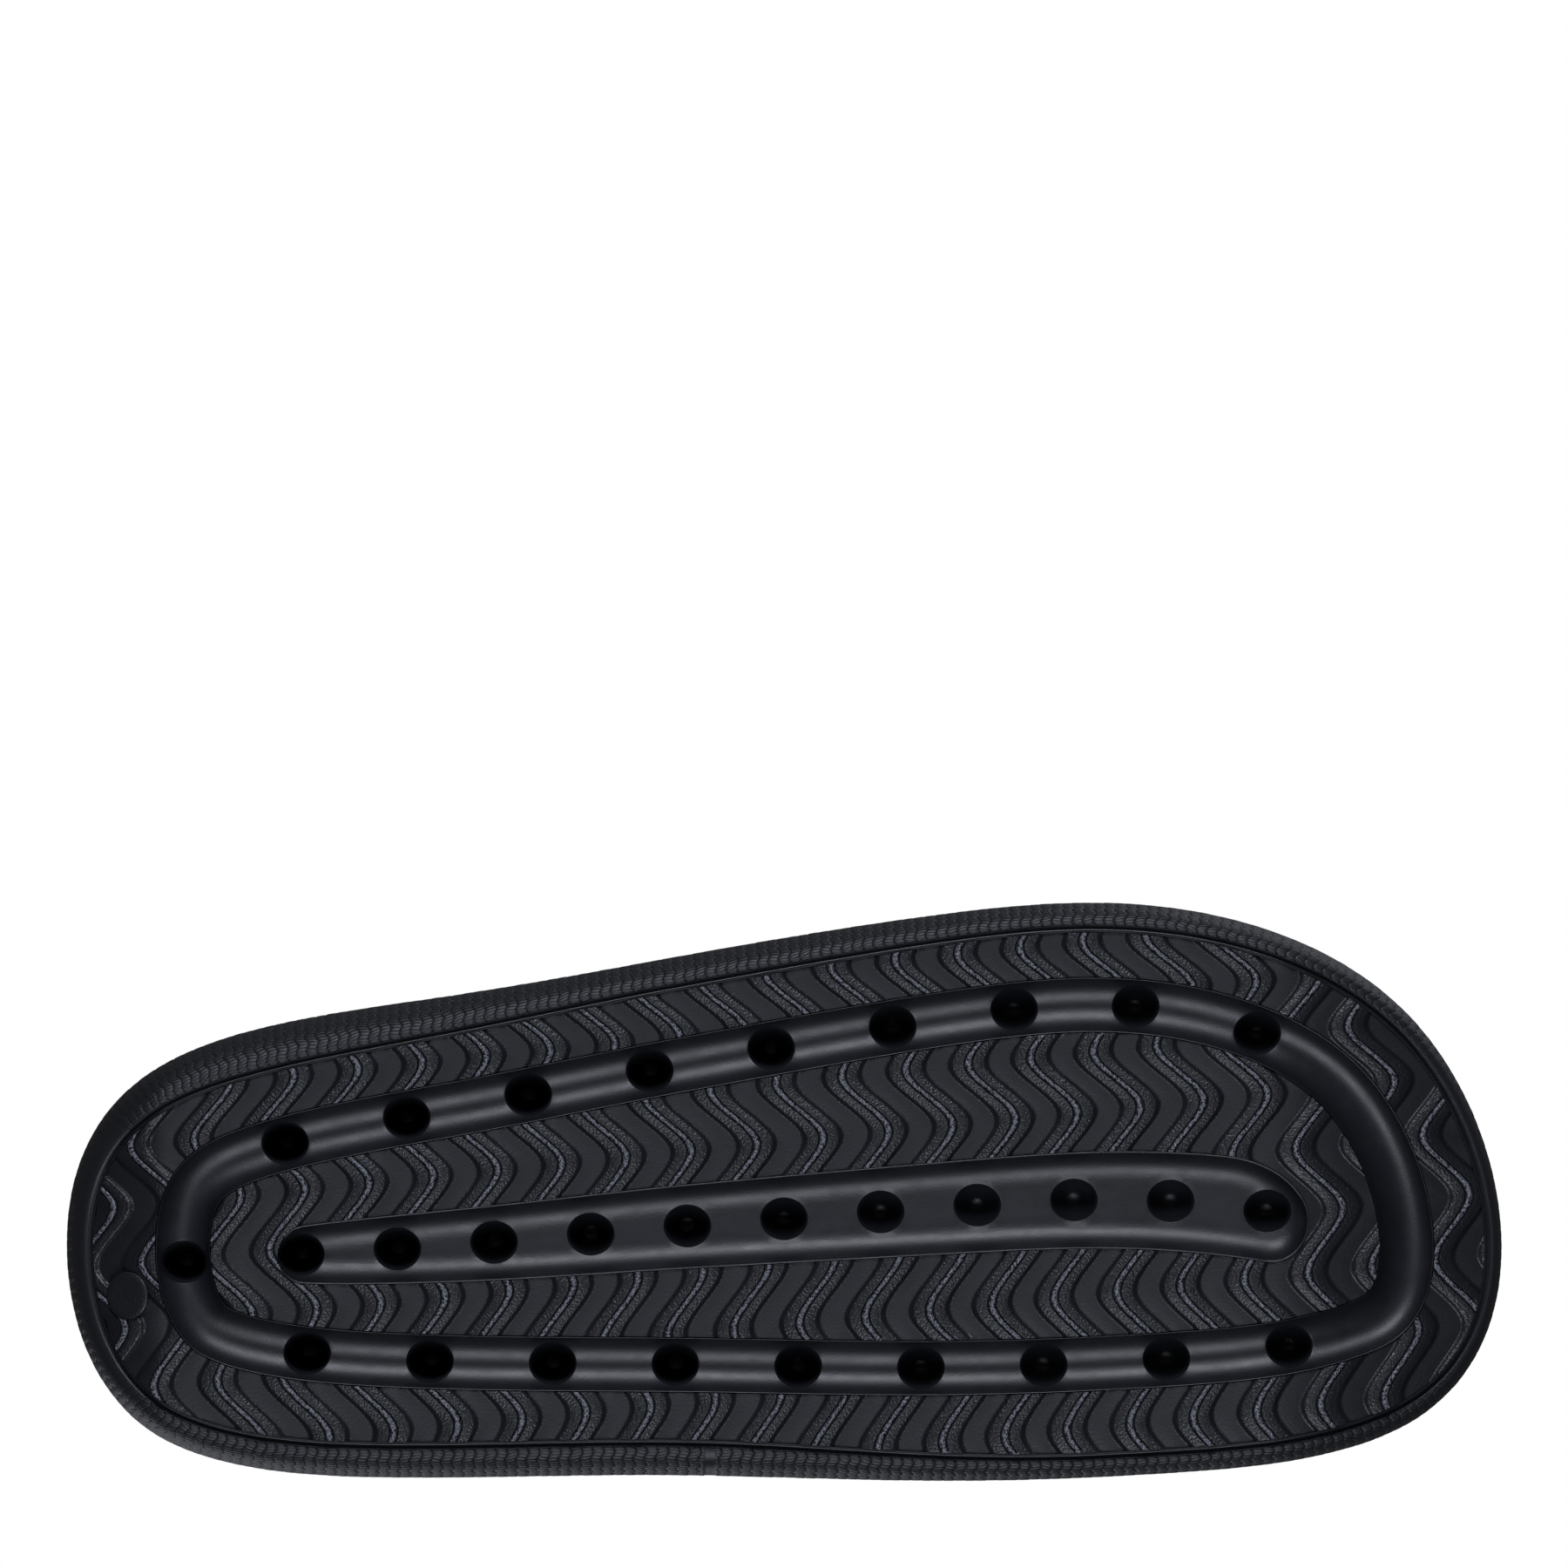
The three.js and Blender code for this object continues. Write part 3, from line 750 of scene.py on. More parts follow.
@dataclass(frozen=True)
class WovenBand:
    """A rubber foxing band moulded with a rope-like weave: short slanted strands stacked in columns."""

    # Colour of the painted shade in the emboss's low grooves.
    groove_shade: str = "#0a0a0c"
    strand: str = "#1b1c20"
    column_mm: float = BAND_COLUMN
    strand_mm: float = 0.8
    slant: float = 1.5  # greatest difference in slant between two columns
    shift: float = 7.0  # greatest shift of one column's strands against another's
    emboss_mm: float = 0.16

    def make(self) -> bpy.types.Material:
        """Builds the material.

        Returns:
            The material, ready for a piece.
        """
        book = NodeBook(bpy.data.materials.new("foxing_band_woven_emboss"))
        # The emboss shows as small rounded cells, each column leaning its own way; the black outlines round
        # the cells are painted shade where the emboss is low.
        place = book.add("Attribute", attribute_name="weave_mm").outputs["Vector"]
        along, up, woven = book.add("SeparateXYZ", (place,)).outputs
        sway = up
        for operation, term in (("MULTIPLY", BAND_SWAY_RATE), ("SINE", 0.0), ("MULTIPLY", BAND_SWAY)):
            sway = book.add("Math", (sway, term), operation=operation)
        column = book.add("Math", (along, 1 / self.column_mm, sway), operation="MULTIPLY_ADD")
        number = book.add("Math", (column,), operation="FLOOR")
        within = book.add("Math", (column,), operation="FRACT")
        across = book.add("Math", (within, 0.5), operation="SUBTRACT")
        chance = book.add("TexWhiteNoise", {"W": number}, noise_dimensions="1D").outputs["Value"]
        lean = book.add("Math", (chance, self.slant, -self.slant / 2), operation="MULTIPLY_ADD")
        leaning = book.add("Math", (across, lean), operation="MULTIPLY")
        strand = book.add("Math", (up, 1 / self.strand_mm, leaning), operation="MULTIPLY_ADD")
        wave = book.add("Math", (chance, self.shift, strand), operation="MULTIPLY_ADD")
        for operation, term in (("MULTIPLY", math.pi), ("SINE", 0.0), ("ABSOLUTE", 0.0), ("POWER", 0.4)):
            wave = book.add("Math", (wave, term), operation=operation)
        side = across
        for operation, term in (("MULTIPLY", 2.0), ("ABSOLUTE", 0.0), ("POWER", 9.0)):
            side = book.add("Math", (side, term), operation=operation)
        flank = book.add("Math", (1.0, side), operation="SUBTRACT")
        cell = book.add("Math", (wave, flank), operation="MULTIPLY")
        lifted = book.add("Math", (cell, 0.7), operation="SUBTRACT")
        height = book.add("Math", (lifted, woven, 0.7), operation="MULTIPLY_ADD")
        # Painted shade: the low grooves of the emboss get the darker colour, as if shade lay in them.
        colour = two_tone(book, height, (0.05, 0.7), self.groove_shade, self.strand)
        bump = book.add("Bump", {"Strength": 0.75, "Distance": self.emboss_mm * MM, "Height": height})
        rough = book.add("Math", (speckle(book, 0.5, 3.0), 0.12, 0.42), operation="MULTIPLY_ADD")
        sockets = {"Base Color": colour, "Roughness": rough, "Normal": bump, "IOR": 1.5}
        shader = book.add("BsdfPrincipled", {**sockets, "Specular IOR Level": 0.4})
        book.add("OutputMaterial", (shader,))
        return book.owner


@dataclass(frozen=True)
class KnitCover:
    """A fine polyester knit over the insole, in rows of small leaning loops."""

    yarn: str = "#24262b"
    # Colour of the painted shade in the gaps between the loops.
    gap: str = "#121317"
    wale_mm: float = 1.3  # real loops are about 0.7 mm wide, too fine to show, and are drawn twice as coarse
    course_mm: float = 1.0
    lean: float = 1.2

    def make(self) -> bpy.types.Material:
        """Builds the material.

        Returns:
            The material, ready for a piece.
        """
        book = NodeBook(bpy.data.materials.new("polyester_knit_top_sheet"))
        # Yarn scatters light every way, so the sheet looks dull, with a soft sheen at low angles. The dark
        # gaps between the loops are painted shade where the loops are low.
        place = book.add("TexCoord").outputs["Object"]
        along, across, _ = book.add("SeparateXYZ", (place,)).outputs
        wale = book.add("Math", (along, self.wale_mm * MM), operation="DIVIDE")
        folded = book.add("Math", (wale, 0.5), operation="PINGPONG")
        leaning = book.add("Math", (folded, self.lean), operation="MULTIPLY")
        course = book.add("Math", (across, 1 / (self.course_mm * MM), leaning), operation="MULTIPLY_ADD")
        waves = []
        for wave, power in ((course, 0.7), (wale, 0.4)):
            steps = (("MULTIPLY", math.pi), ("SINE", 0.0), ("ABSOLUTE", 0.0), ("POWER", power))
            for operation, term in steps:
                wave = book.add("Math", (wave, term), operation=operation)
            waves.append(wave)
        height = book.add("Math", waves, operation="MULTIPLY")
        shade = book.add("Math", (height, 0.8), operation="MULTIPLY")
        tint = book.add("Math", (speckle(book, 14.0, 3.0), 0.3, shade), operation="MULTIPLY_ADD")
        # Painted shade: the colour darkens where the loops are low, as if shade lay between them.
        colour = two_tone(book, tint, (0.1, 0.85), self.gap, self.yarn)
        bump = book.add("Bump", {"Strength": 0.7, "Distance": 0.22 * MM, "Height": height})
        sockets = {"Base Color": colour, "Roughness": 0.85, "Normal": bump, "IOR": 1.5}
        shader = book.add("BsdfPrincipled", {**sockets, "Sheen Weight": 0.25, "Sheen Roughness": 0.5})
        book.add("OutputMaterial", (shader,))
        return book.owner


@dataclass(frozen=True)
class CushionFoam:
    """Open-cell polyurethane foam, cut to shape."""

    cell: str = "#3a3c42"
    pore_shade: str = "#1b1c20"
    cell_mm: float = 0.9  # real cells are about 0.4 mm across, too fine to show, so drawn twice as coarse

    def make(self) -> bpy.types.Material:
        """Builds the material.

        Returns:
            The material, ready for a piece.
        """
        book = NodeBook(bpy.data.materials.new("polyurethane_foam_cut"))
        # Cut cells make the face matte all over; the small dark pores are painted shade in the low middles of
        # the cells.
        place = book.add("TexCoord").outputs["Object"]
        voronoi = book.add("TexVoronoi", {"Vector": place, "Scale": 1 / (self.cell_mm * MM)})
        cells = voronoi.outputs["Distance"]
        # Painted shade: the colour darkens where the bump is lowest, at the pores.
        colour = two_tone(book, cells, (0.15, 0.6), self.pore_shade, self.cell)
        bump = book.add("Bump", {"Strength": 0.6, "Distance": 0.2 * MM, "Height": cells})
        sockets = {"Base Color": colour, "Roughness": 0.92, "Normal": bump, "IOR": 1.45}
        shader = book.add("BsdfPrincipled", sockets)
        book.add("OutputMaterial", (shader,))
        return book.owner


# ---------------------------------------------------------------- the pieces


@dataclass
class SubAssembly:
    """What every piece shares: the sole's form, its material and how it joins the frame."""

    form: SoleForm
    material: bpy.types.Material

    def dress(self, piece: bpy.types.Object, node: str, slot: str) -> bpy.types.Object:
        """Gives a piece its material and puts it in place of its CAD node.

        Args:
            piece: the finished object.
            node: the CAD node that it stands for.
            slot: the record's material slot; not used.

        Returns:
            The piece.
        """
        piece.data.materials.append(self.material)
        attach(piece, ROOT)
        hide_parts(node)
        LOG.info("%s: %d vertices, %d faces", piece.name, len(piece.data.vertices), len(piece.data.polygons))
        return piece


@dataclass
class Midsole(SubAssembly):
    """The foam midsole with its gutters, core holes, cove and rim."""

    bar: MiddleGutter
    lip_sunk: float = 0.85  # depth of the gutters' lips below the crest of the tread
    lip_edge: float = 0.12
    pocket: float = 3.3  # depth that the tread panels are let in
    recess: float = 7.9  # depth that the insole is let in
    behind_band: float = 1.9  # how far inside the band's face the foam's wall lies
    hole_mouth: float = 4.5
    hole_edge: float = 4.4
    hole_radius: float = 4.0
    hole_foot: float = 1.4
    hole_draft: float = 0.45  # how late the core pin narrows: 0 is a cylinder, 1 a cone
    hole_funnel: float = 1.4
    hole_sides: int = 44
    hole_oval: float = 0.9  # mouth height across the gutter, as a share of its length along it
    roof: float = 6.0
    lateral_holes: tuple[float, ...] = (9, 41.7, 46.5)
    medial_holes: tuple[float, ...] = (9, 45.8, 40.5)
    bar_holes: tuple[float, ...] = (11, 44.6, 44.6)
    heel_hole_across: float = 13.1
    boundary: int = 900

    # The dark groove between tread and band: distance out from the tread's edge, and height over the crests.
    COVE = (
        (0.05, 1.2), (0.1, 2.0), (0.18, 2.45), (0.3, 2.5), (0.5, 2.35), (0.75, 2.12), (0.95, 1.94),
        (1.1, 1.84),
    )

    def hole_centres(self) -> Array:
        """Centres of the core holes: one in the heel bend, then the three rows.

        Returns:
            The centres (30, 2).
        """
        half = self.form.length / 2
        centre = self.form.ring_line()
        bend = centre[centre[:, 0] < self.bar.ends()[0]]
        rows = [bend[np.abs(bend[:, 1] - self.heel_hole_across).argmin()][None]]
        arms = (
            (self.lateral_holes, lambda x: self.form.ring_across(x, -1)),
            (self.medial_holes, lambda x: self.form.ring_across(x, 1)),
            (self.bar_holes, self.bar.middle),
        )
        for (count, first, last), across in arms:
            x = np.linspace(first - half, half - last, count)
            rows.append(np.column_stack([x, across(x)]))
        return np.vstack(rows)

    def hole_depth(self, x: Array) -> Array:
        """Height of a hole's end above the ground, which leaves a roof of foam under the insole."""
        return self.form.wall_top(x) - self.form.cove_rise / 2 - self.form.dish(x) - self.recess - self.roof

    def depth(self, xy: Array) -> Array:
        """Depth of the underside without its holes.

        Args:
            xy: points (n, 2) on the underside.

        Returns:
            How far into the foam each point lies, measured from the crest of the tread.
        """
        form = self.form
        ring = form.ring_line(0.0, 1500)
        from_ring = np.abs(distance_to(xy, ring))
        in_bar = distance_to(xy, self.bar.edge(900))
        in_tread = distance_to(xy, form.line(form.tread_inset, 0.0, 1200))
        radius, edge, low = form.gutter_radius, form.gutter_edge, self.lip_sunk + self.lip_edge
        gutter = np.maximum(edge + np.sqrt(np.maximum(radius ** 2 - from_ring ** 2, 0.0)), low)
        gutter = np.where(from_ring < radius - 0.02, gutter, 0.0)
        bar = np.maximum(self.bar.floor_at(in_bar, xy[:, 0]), low)
        bar = np.where(in_bar > 0, bar, 0.0)
        outside = np.minimum(np.maximum(from_ring - radius + 0.02, 0.0), np.maximum(-in_bar, 0.0))
        turned = np.clip(1 - outside / self.lip_edge, 0.0, 1.0)
        lip = self.lip_sunk + self.lip_edge * (1 - np.sqrt(1 - turned ** 2))
        lip = np.where((gutter > 0) | (bar > 0), 0.0, lip)
        clear = np.minimum(outside, in_tread)
        sunk = self.pocket * np.clip((clear - form.lip + 0.02) / 0.04, 0.0, 1.0)
        return np.maximum.reduce([gutter, bar, lip, sunk])

    def with_holes(self, xy: Array, depth: Array) -> Array:
        """Takes the core holes and their rounded mouths out.

        Args:
            xy: points (n, 2) on the underside.
            depth: its depth without the holes.

        Returns:
            The depth with them.
        """
        depth = depth.copy()
        for centre in self.hole_centres():
            r = np.hypot(xy[:, 0] - centre[0], (xy[:, 1] - centre[1]) / self.hole_oval)
            near = r < self.hole_mouth
            r, surface = r[near], depth[near]
            end = float(self.hole_depth(centre[:1])[0] - self.form.rise(centre[:1])[0])
            turned = np.clip((self.hole_mouth - r) / (self.hole_mouth - self.hole_edge), 0.0, 1.0)
            edge = surface + 0.1 * (1 - np.sqrt(1 - turned ** 2))
            narrowed = np.clip((self.hole_edge - r) / (self.hole_edge - self.hole_radius), 0.0, 1.0)
            funnel = edge + self.hole_funnel * narrowed ** 1.4
            down = np.clip((self.hole_radius - r) / (self.hole_radius - self.hole_foot), 0.0, 1.0)
            wall = mix(funnel, end, down ** self.hole_draft)
            dome = end + 0.3 * (1 - np.clip(r / self.hole_foot, 0.0, 1.0) ** 2)
            depth[near] = np.where(r < self.hole_foot, dome, wall)
        return depth

    def underside(self) -> tuple[Array, Array, Array]:
        """The whole underside inside the tread's edge, as one height field.

        Returns:
            Points (n, 3), triangles, and the edge as points (m, 2).
        """
        form, plane, lip = self.form, PlanarMesh(), self.form.lip
        centres = self.hole_centres()
        outer = self.hole_mouth

        def clear_of_holes(points: Array, spare: float = 0.06) -> Array:
            """Says which points keep a spare distance from every hole's mouth.

            Args:
                points: (n, 2).
                spare: the distance.

            Returns:
                True or false for each point.
            """
            away = (points[:, None] - centres[None]) / (1.0, self.hole_oval)
            return np.hypot(away[..., 0], away[..., 1]).min(1) > outer + spare

        boundary = form.line(form.tread_inset, 0.0, self.boundary)
        plane.add(boundary, True)
        for inward in (lip - 0.02, lip + 0.02):
            plane.add(form.line(form.tread_inset, inward, self.boundary), True)
        radius = form.gutter_radius
        arcs = radius * np.sin(np.radians(np.linspace(-90, 90, 19)))
        sides = radius + np.array([0.03, 0.1, lip - 0.02, lip + 0.02])
        for aside in np.concatenate([-sides[::-1], arcs, sides]):
            row = form.ring_line(aside, 620)
            plane.add(row, True, clear_of_holes(row))
        edge = self.bar.edge(460)
        normals = loop_normals(edge)
        insets = 3.4 * (1 - np.cos(np.radians(np.arange(0, 91, 10))))
        for inward in np.concatenate([-sides[::-1] + radius, insets]):
            row = edge - normals * inward
            plane.add(row, True, clear_of_holes(row))
        x, y = np.meshgrid(np.arange(-90, 98, 1.1), np.arange(-20, 22, 1.1))
        floor = np.column_stack([x.ravel(), y.ravel()])
        floor = floor[distance_to(floor, edge) > 3.7]
        plane.add(floor, None, clear_of_holes(floor, 0.4))
        rings = [outer, 4.46, 4.42, self.hole_edge, 4.33, 4.22, 4.1, self.hole_radius, 3.97, 3.9, 3.75, 3.5]
        rings += [3.1, 2.6, 2.0, self.hole_foot, 1.0, 0.5]
        turns = np.linspace(0, 2 * math.pi, self.hole_sides, endpoint=False)
        unit = np.column_stack([np.cos(turns), self.hole_oval * np.sin(turns)])
        for centre in centres:
            for r in rings:
                plane.add(centre + unit * r, True)
            plane.add(centre[None], None)
        xy, triangles = plane.triangulate(lambda p: distance_to(p, boundary) > 0)
        depth = self.with_holes(xy, self.depth(xy))
        return np.column_stack([xy, form.rise(xy[:, 0]) + depth]), triangles, boundary

    def build(self) -> bpy.types.Object:
        """Builds the closed midsole: its underside, cove, wall, rim and recess.

        Returns:
            The object.
        """
        form, n = self.form, self.boundary
        points, triangles, boundary = self.underside()
        rows = []
        for out, rise in self.COVE:
            flat = form.line(form.tread_inset, -out, n)
            rows.append(np.column_stack([flat, form.rise(flat[:, 0]) + rise]))
        inner = self.behind_band
        rows.append(form.wall(0.0, inner, n, 0.2))
        rows += [form.wall(t, inner, n) for t in np.linspace(0, math.pi, 9)]
        rows.append(form.wall(math.pi, inner, n, 0.2))
        rim = form.top_inset + np.array([0.12, 0.4, 1.0, 1.7, 2.4, 2.8, form.rim_width])
        crown = (-0.25, 0.0, 0.12, 0.12, 0.0, -0.3, -0.8)
        for inset, lift in zip(rim, crown):
            flat = form.line(float(inset), 0.0, n)
            rows.append(np.column_stack([flat, form.wall_top(flat[:, 0]) + lift - 0.12]))
        for inside in (0.0, 2.7, 7.5, form.dish_side):
            flat = form.line(form.top_inset + form.rim_width + inside, 0.0, n)
            rows.append(np.column_stack([flat, form.footbed(flat[:, 0], np.full(n, inside), self.recess)]))
        start = len(points)
        match = np.array([np.hypot(*(points[:, :2] - b).T).argmin() for b in boundary])
        loft = skin(len(rows), n, start)
        columns = np.arange(n)
        following = (columns + 1) % n
        seam = np.column_stack([match, match[following], start + following, start + columns])
        cap = strip_cap(start + (len(rows) - 1) * n, n, False)
        faces = [*triangles[:, ::-1].tolist(), *seam.tolist(), *loft.tolist(), *cap.tolist()]
        piece = make_piece("midsole_foam", np.vstack([points, *rows]), faces)
        return self.dress(piece, "midsole", "moulded_foam")


@dataclass
class RibPattern:
    """The tread's wavy ribs: where they run and how they are cut."""

    form: SoleForm
    pitch: float = 12.04
    first: float = -149.1  # the first rib's mean line, off the heel
    count: int = 27
    drift: float = 1.2
    amplitude: float = 3.9
    tilt: float = -0.098  # slope of the rows of bends across the length
    bend_row: float = -9.8
    bend_spacing: float = 21.9
    bend_growth: float = 0.03
    sharpness: float = 0.7  # 0 makes the bends a sine, 1 a zigzag
    # Section of one rib: distance from its bead, and depth below its crest.
    SECTION = (
        (-6.02, 1.3), (-4.0, 1.4), (-3.82, 1.36), (-3.0, 0.64), (-0.95, 0.28), (-0.72, 0.74), (-0.5, 0.22),
        (-0.25, 0.05), (0.0, 0.0), (0.25, 0.05), (0.5, 0.22), (0.72, 0.74), (0.95, 0.28), (2.95, 0.64),
        (3.82, 1.46), (4.0, 1.44), (6.02, 1.3),
    )
    SECTION_STEP = 0.02
    ROUNDING = 0.2
    SHOULDER_GRAIN = 0.7  # how coarse the grain is on a rib's shoulders
    BEAD_GRAIN = 1.2  # and how much more so on its bead
    VALLEY = 4.0  # distance from the bead at which the flat valley starts
    LINES = (
        -5.0, -4.2, -4.0, -3.82, -3.6, -3.3, -3.0, -2.85, -2.0, -1.1, -0.95, -0.83, -0.72, -0.61, -0.5,
        -0.36, -0.18, 0.0, 0.18, 0.36, 0.5, 0.61, 0.72, 0.83, 0.95, 1.1, 2.0, 2.8, 2.95, 3.2, 3.5, 3.82,
        4.0, 4.2, 5.0,
    )

    def wave(self, q: Array) -> Array:
        """How far the ribs bend towards the toe.

        Args:
            q: places across the sole.

        Returns:
            The bend at each place.
        """
        off = q - self.bend_row
        phase = off / (self.bend_spacing + self.bend_growth * off)
        bend = np.arcsin(self.sharpness * np.cos(2 * math.pi * phase)) / math.asin(self.sharpness)
        return self.amplitude * bend

    def centres(self) -> Array:
        """Where each rib's bead lies along the tilted axis, at its mean line."""
        at = self.first + self.pitch * np.arange(self.count)
        return at - self.amplitude + self.drift * np.exp(-((at - 25.0) / 32.0) ** 2)

    def axes(self) -> tuple[float, float]:
        """Cosine and sine of the pattern's tilt."""
        return math.sqrt(1 - self.tilt ** 2), self.tilt

    def section(self) -> tuple[Array, Array]:
        """The rib's section with its corners rounded.

        Returns:
            Distances from the bead, and the depth below the crest at each.
        """
        u = np.arange(-self.pitch / 2, self.pitch / 2, self.SECTION_STEP)
        raw = np.interp(u, *np.array(self.SECTION).T)
        width = int(self.ROUNDING / self.SECTION_STEP)
        kernel = np.hanning(width + 2)[1:-1]
        padded = np.pad(raw, width, mode="wrap")
        return u, np.convolve(padded, kernel / kernel.sum(), "same")[width:-width]

    def relief(self, xy: Array) -> tuple[Array, Array]:
        """The ribs' height and grain.

        Args:
            xy: points (n, 2) on the tread.

        Returns:
            Depth below the crest, and how coarse the grain is: 0 in a valley, most on a bead.
        """
        c, s = self.axes()
        p, q = xy[:, 0] * c + xy[:, 1] * s, -xy[:, 0] * s + xy[:, 1] * c
        t, centres = p - self.wave(q), self.centres()
        nearest = np.abs(t[:, None] - centres[None]).argmin(1)
        gap = t - centres[nearest]
        neighbour = np.clip(nearest + np.where(gap > 0, 1, -1), 0, len(centres) - 1)
        half = np.maximum(np.abs(centres[neighbour] - centres[nearest]) / 2, 1e-6)
        valley = self.VALLEY
        spread = (self.pitch / 2 - valley) / (half - valley)
        u = np.where(np.abs(gap) > valley, np.sign(gap) * (valley + (np.abs(gap) - valley) * spread), gap)
        shoulder, bead = (1 - ease(low, high, np.abs(u)) for low, high in ((3.3, 4.5), (0.45, 0.7)))
        return np.interp(u, *self.section()), self.SHOULDER_GRAIN * shoulder + self.BEAD_GRAIN * bead

    def lines(self) -> list[Array]:
        """The lines along every rib that its section turns at.

        Returns:
            One line of points for each rib and each place on its section.
        """
        c, s = self.axes()
        q = np.arange(-66.0, 66.0, 0.8)
        made = []
        for centre in self.centres():
            for u in self.LINES:
                p = centre + u + self.wave(q)
                made.append(np.column_stack([p * c - q * s, p * s + q * c]))
        return made


@dataclass
class Tread(SubAssembly):
    """The two ribbed tread panels and the heel disc."""

    bar: MiddleGutter
    ribs: RibPattern
    gap: float = 0.07
    thickness: float = 3.0
    disc_radius: float = 4.5
    disc_margin: float = 12.27
    disc_across: float = 19.1
    disc_proud: float = 0.3
    disc_squash: float = 0.87
    disc_sides: int = 96
    disc_grain: float = 0.3  # finer than the grain of the ribs

    # The disc's rounded face: distance out from its rim, and depth below its highest point.
    DISC_FACE = ((0.0, 0.92), (-0.02, 0.37), (-0.12, 0.14), (-0.35, 0.02), (-1.2, 0.0), (-2.6, 0.0))

    def disc_loop(self, spare: float) -> Array:
        """The heel disc's outline, round when seen square to the bevel.

        Args:
            spare: how much larger than the disc it is.

        Returns:
            Its points, counter-clockwise.
        """
        turn = np.linspace(0, 2 * math.pi, self.disc_sides, endpoint=False)
        radius = self.disc_radius + spare
        x = self.disc_margin - self.form.length / 2 + self.disc_squash * radius * np.cos(turn)
        return np.column_stack([x, self.disc_across + radius * np.sin(turn)])

    def panel(self, name: str, outer: Array, holes: list[Array]) -> bpy.types.Object:
        """One ribbed panel.

        Args:
            name: the piece's name.
            outer: its outer edge.
            holes: loops that are left out of it.

        Returns:
            The object.
        """
        def inside(points: Array) -> Array:
            """Says which points lie within the outer edge and in none of the holes.

            Args:
                points: (n, 2).

            Returns:
                True or false for each point.
            """
            keep = distance_to(points, outer) > 0
            for hole in holes:
                keep &= distance_to(points, hole) < 0
            return keep

        plane = PlanarMesh()
        for edge in (outer, *holes):
            plane.add(edge, True)
        box_low, box_high = outer.min(0), outer.max(0)
        for line in self.ribs.lines():
            near = ((line > box_low) & (line < box_high)).all(1)
            if near.sum() < 2:
                continue
            keep = near.copy()
            keep[near] = inside(line[near])
            wider = keep | np.roll(keep, 1) | np.roll(keep, -1)
            plane.add(line, False, wider & near)
        xy, triangles = plane.triangulate(inside)
        relief, on_rib = self.ribs.relief(xy)
        rise = self.form.rise(xy[:, 0])
        points, faces = closed_slab(xy, triangles, rise + relief, rise + self.thickness)
        piece = make_piece(name, points, faces, 50.0)
        set_attribute(piece, "on_rib", np.concatenate([on_rib, np.zeros(len(xy))]))
        return piece

    def build(self) -> list[bpy.types.Object]:
        """Builds both panels and the disc.

        Returns:
            The three objects.
        """
        form, clear = self.form, self.form.lip + self.gap
        radius = form.gutter_radius + clear
        outer = self.panel("tread_outer_ribbed", form.line(form.tread_inset, clear, 900),
                           [form.ring_line(radius, 700), self.disc_loop(0.06)])
        bar = self.bar.edge(460)
        inner = self.panel("tread_inner_ribbed", form.ring_line(-radius, 700),
                           [bar + loop_normals(bar) * clear])
        return [
            self.dress(outer, "outer_tread", "tread_rubber"),
            self.dress(inner, "inner_tread", "tread_rubber"),
            self.disc(),
        ]

    def disc(self) -> bpy.types.Object:
        """Builds the blank heel disc with a rounded edge.

        Returns:
            The object.
        """
        count = self.disc_sides
        back = self.disc_loop(0.0)
        rows = [np.column_stack([back, self.form.rise(back[:, 0]) + self.thickness])]
        for spare, sunk in self.DISC_FACE:
            flat = self.disc_loop(spare)
            rows.append(np.column_stack([flat, self.form.rise(flat[:, 0]) - self.disc_proud + sunk]))
        turned = [np.roll(row, -count // 4, axis=0) for row in rows]
        faces = [
            *skin(len(rows), count)[:, ::-1].tolist(),
            *strip_cap(0, count, False).tolist(),
            *strip_cap((len(rows) - 1) * count, count, True).tolist(),
        ]
        piece = make_piece("heel_disc_blank", np.vstack(turned), faces)
        set_attribute(piece, "on_rib", np.full(len(rows) * count, self.disc_grain))
        return self.dress(piece, "heel_disc", "tread_rubber")


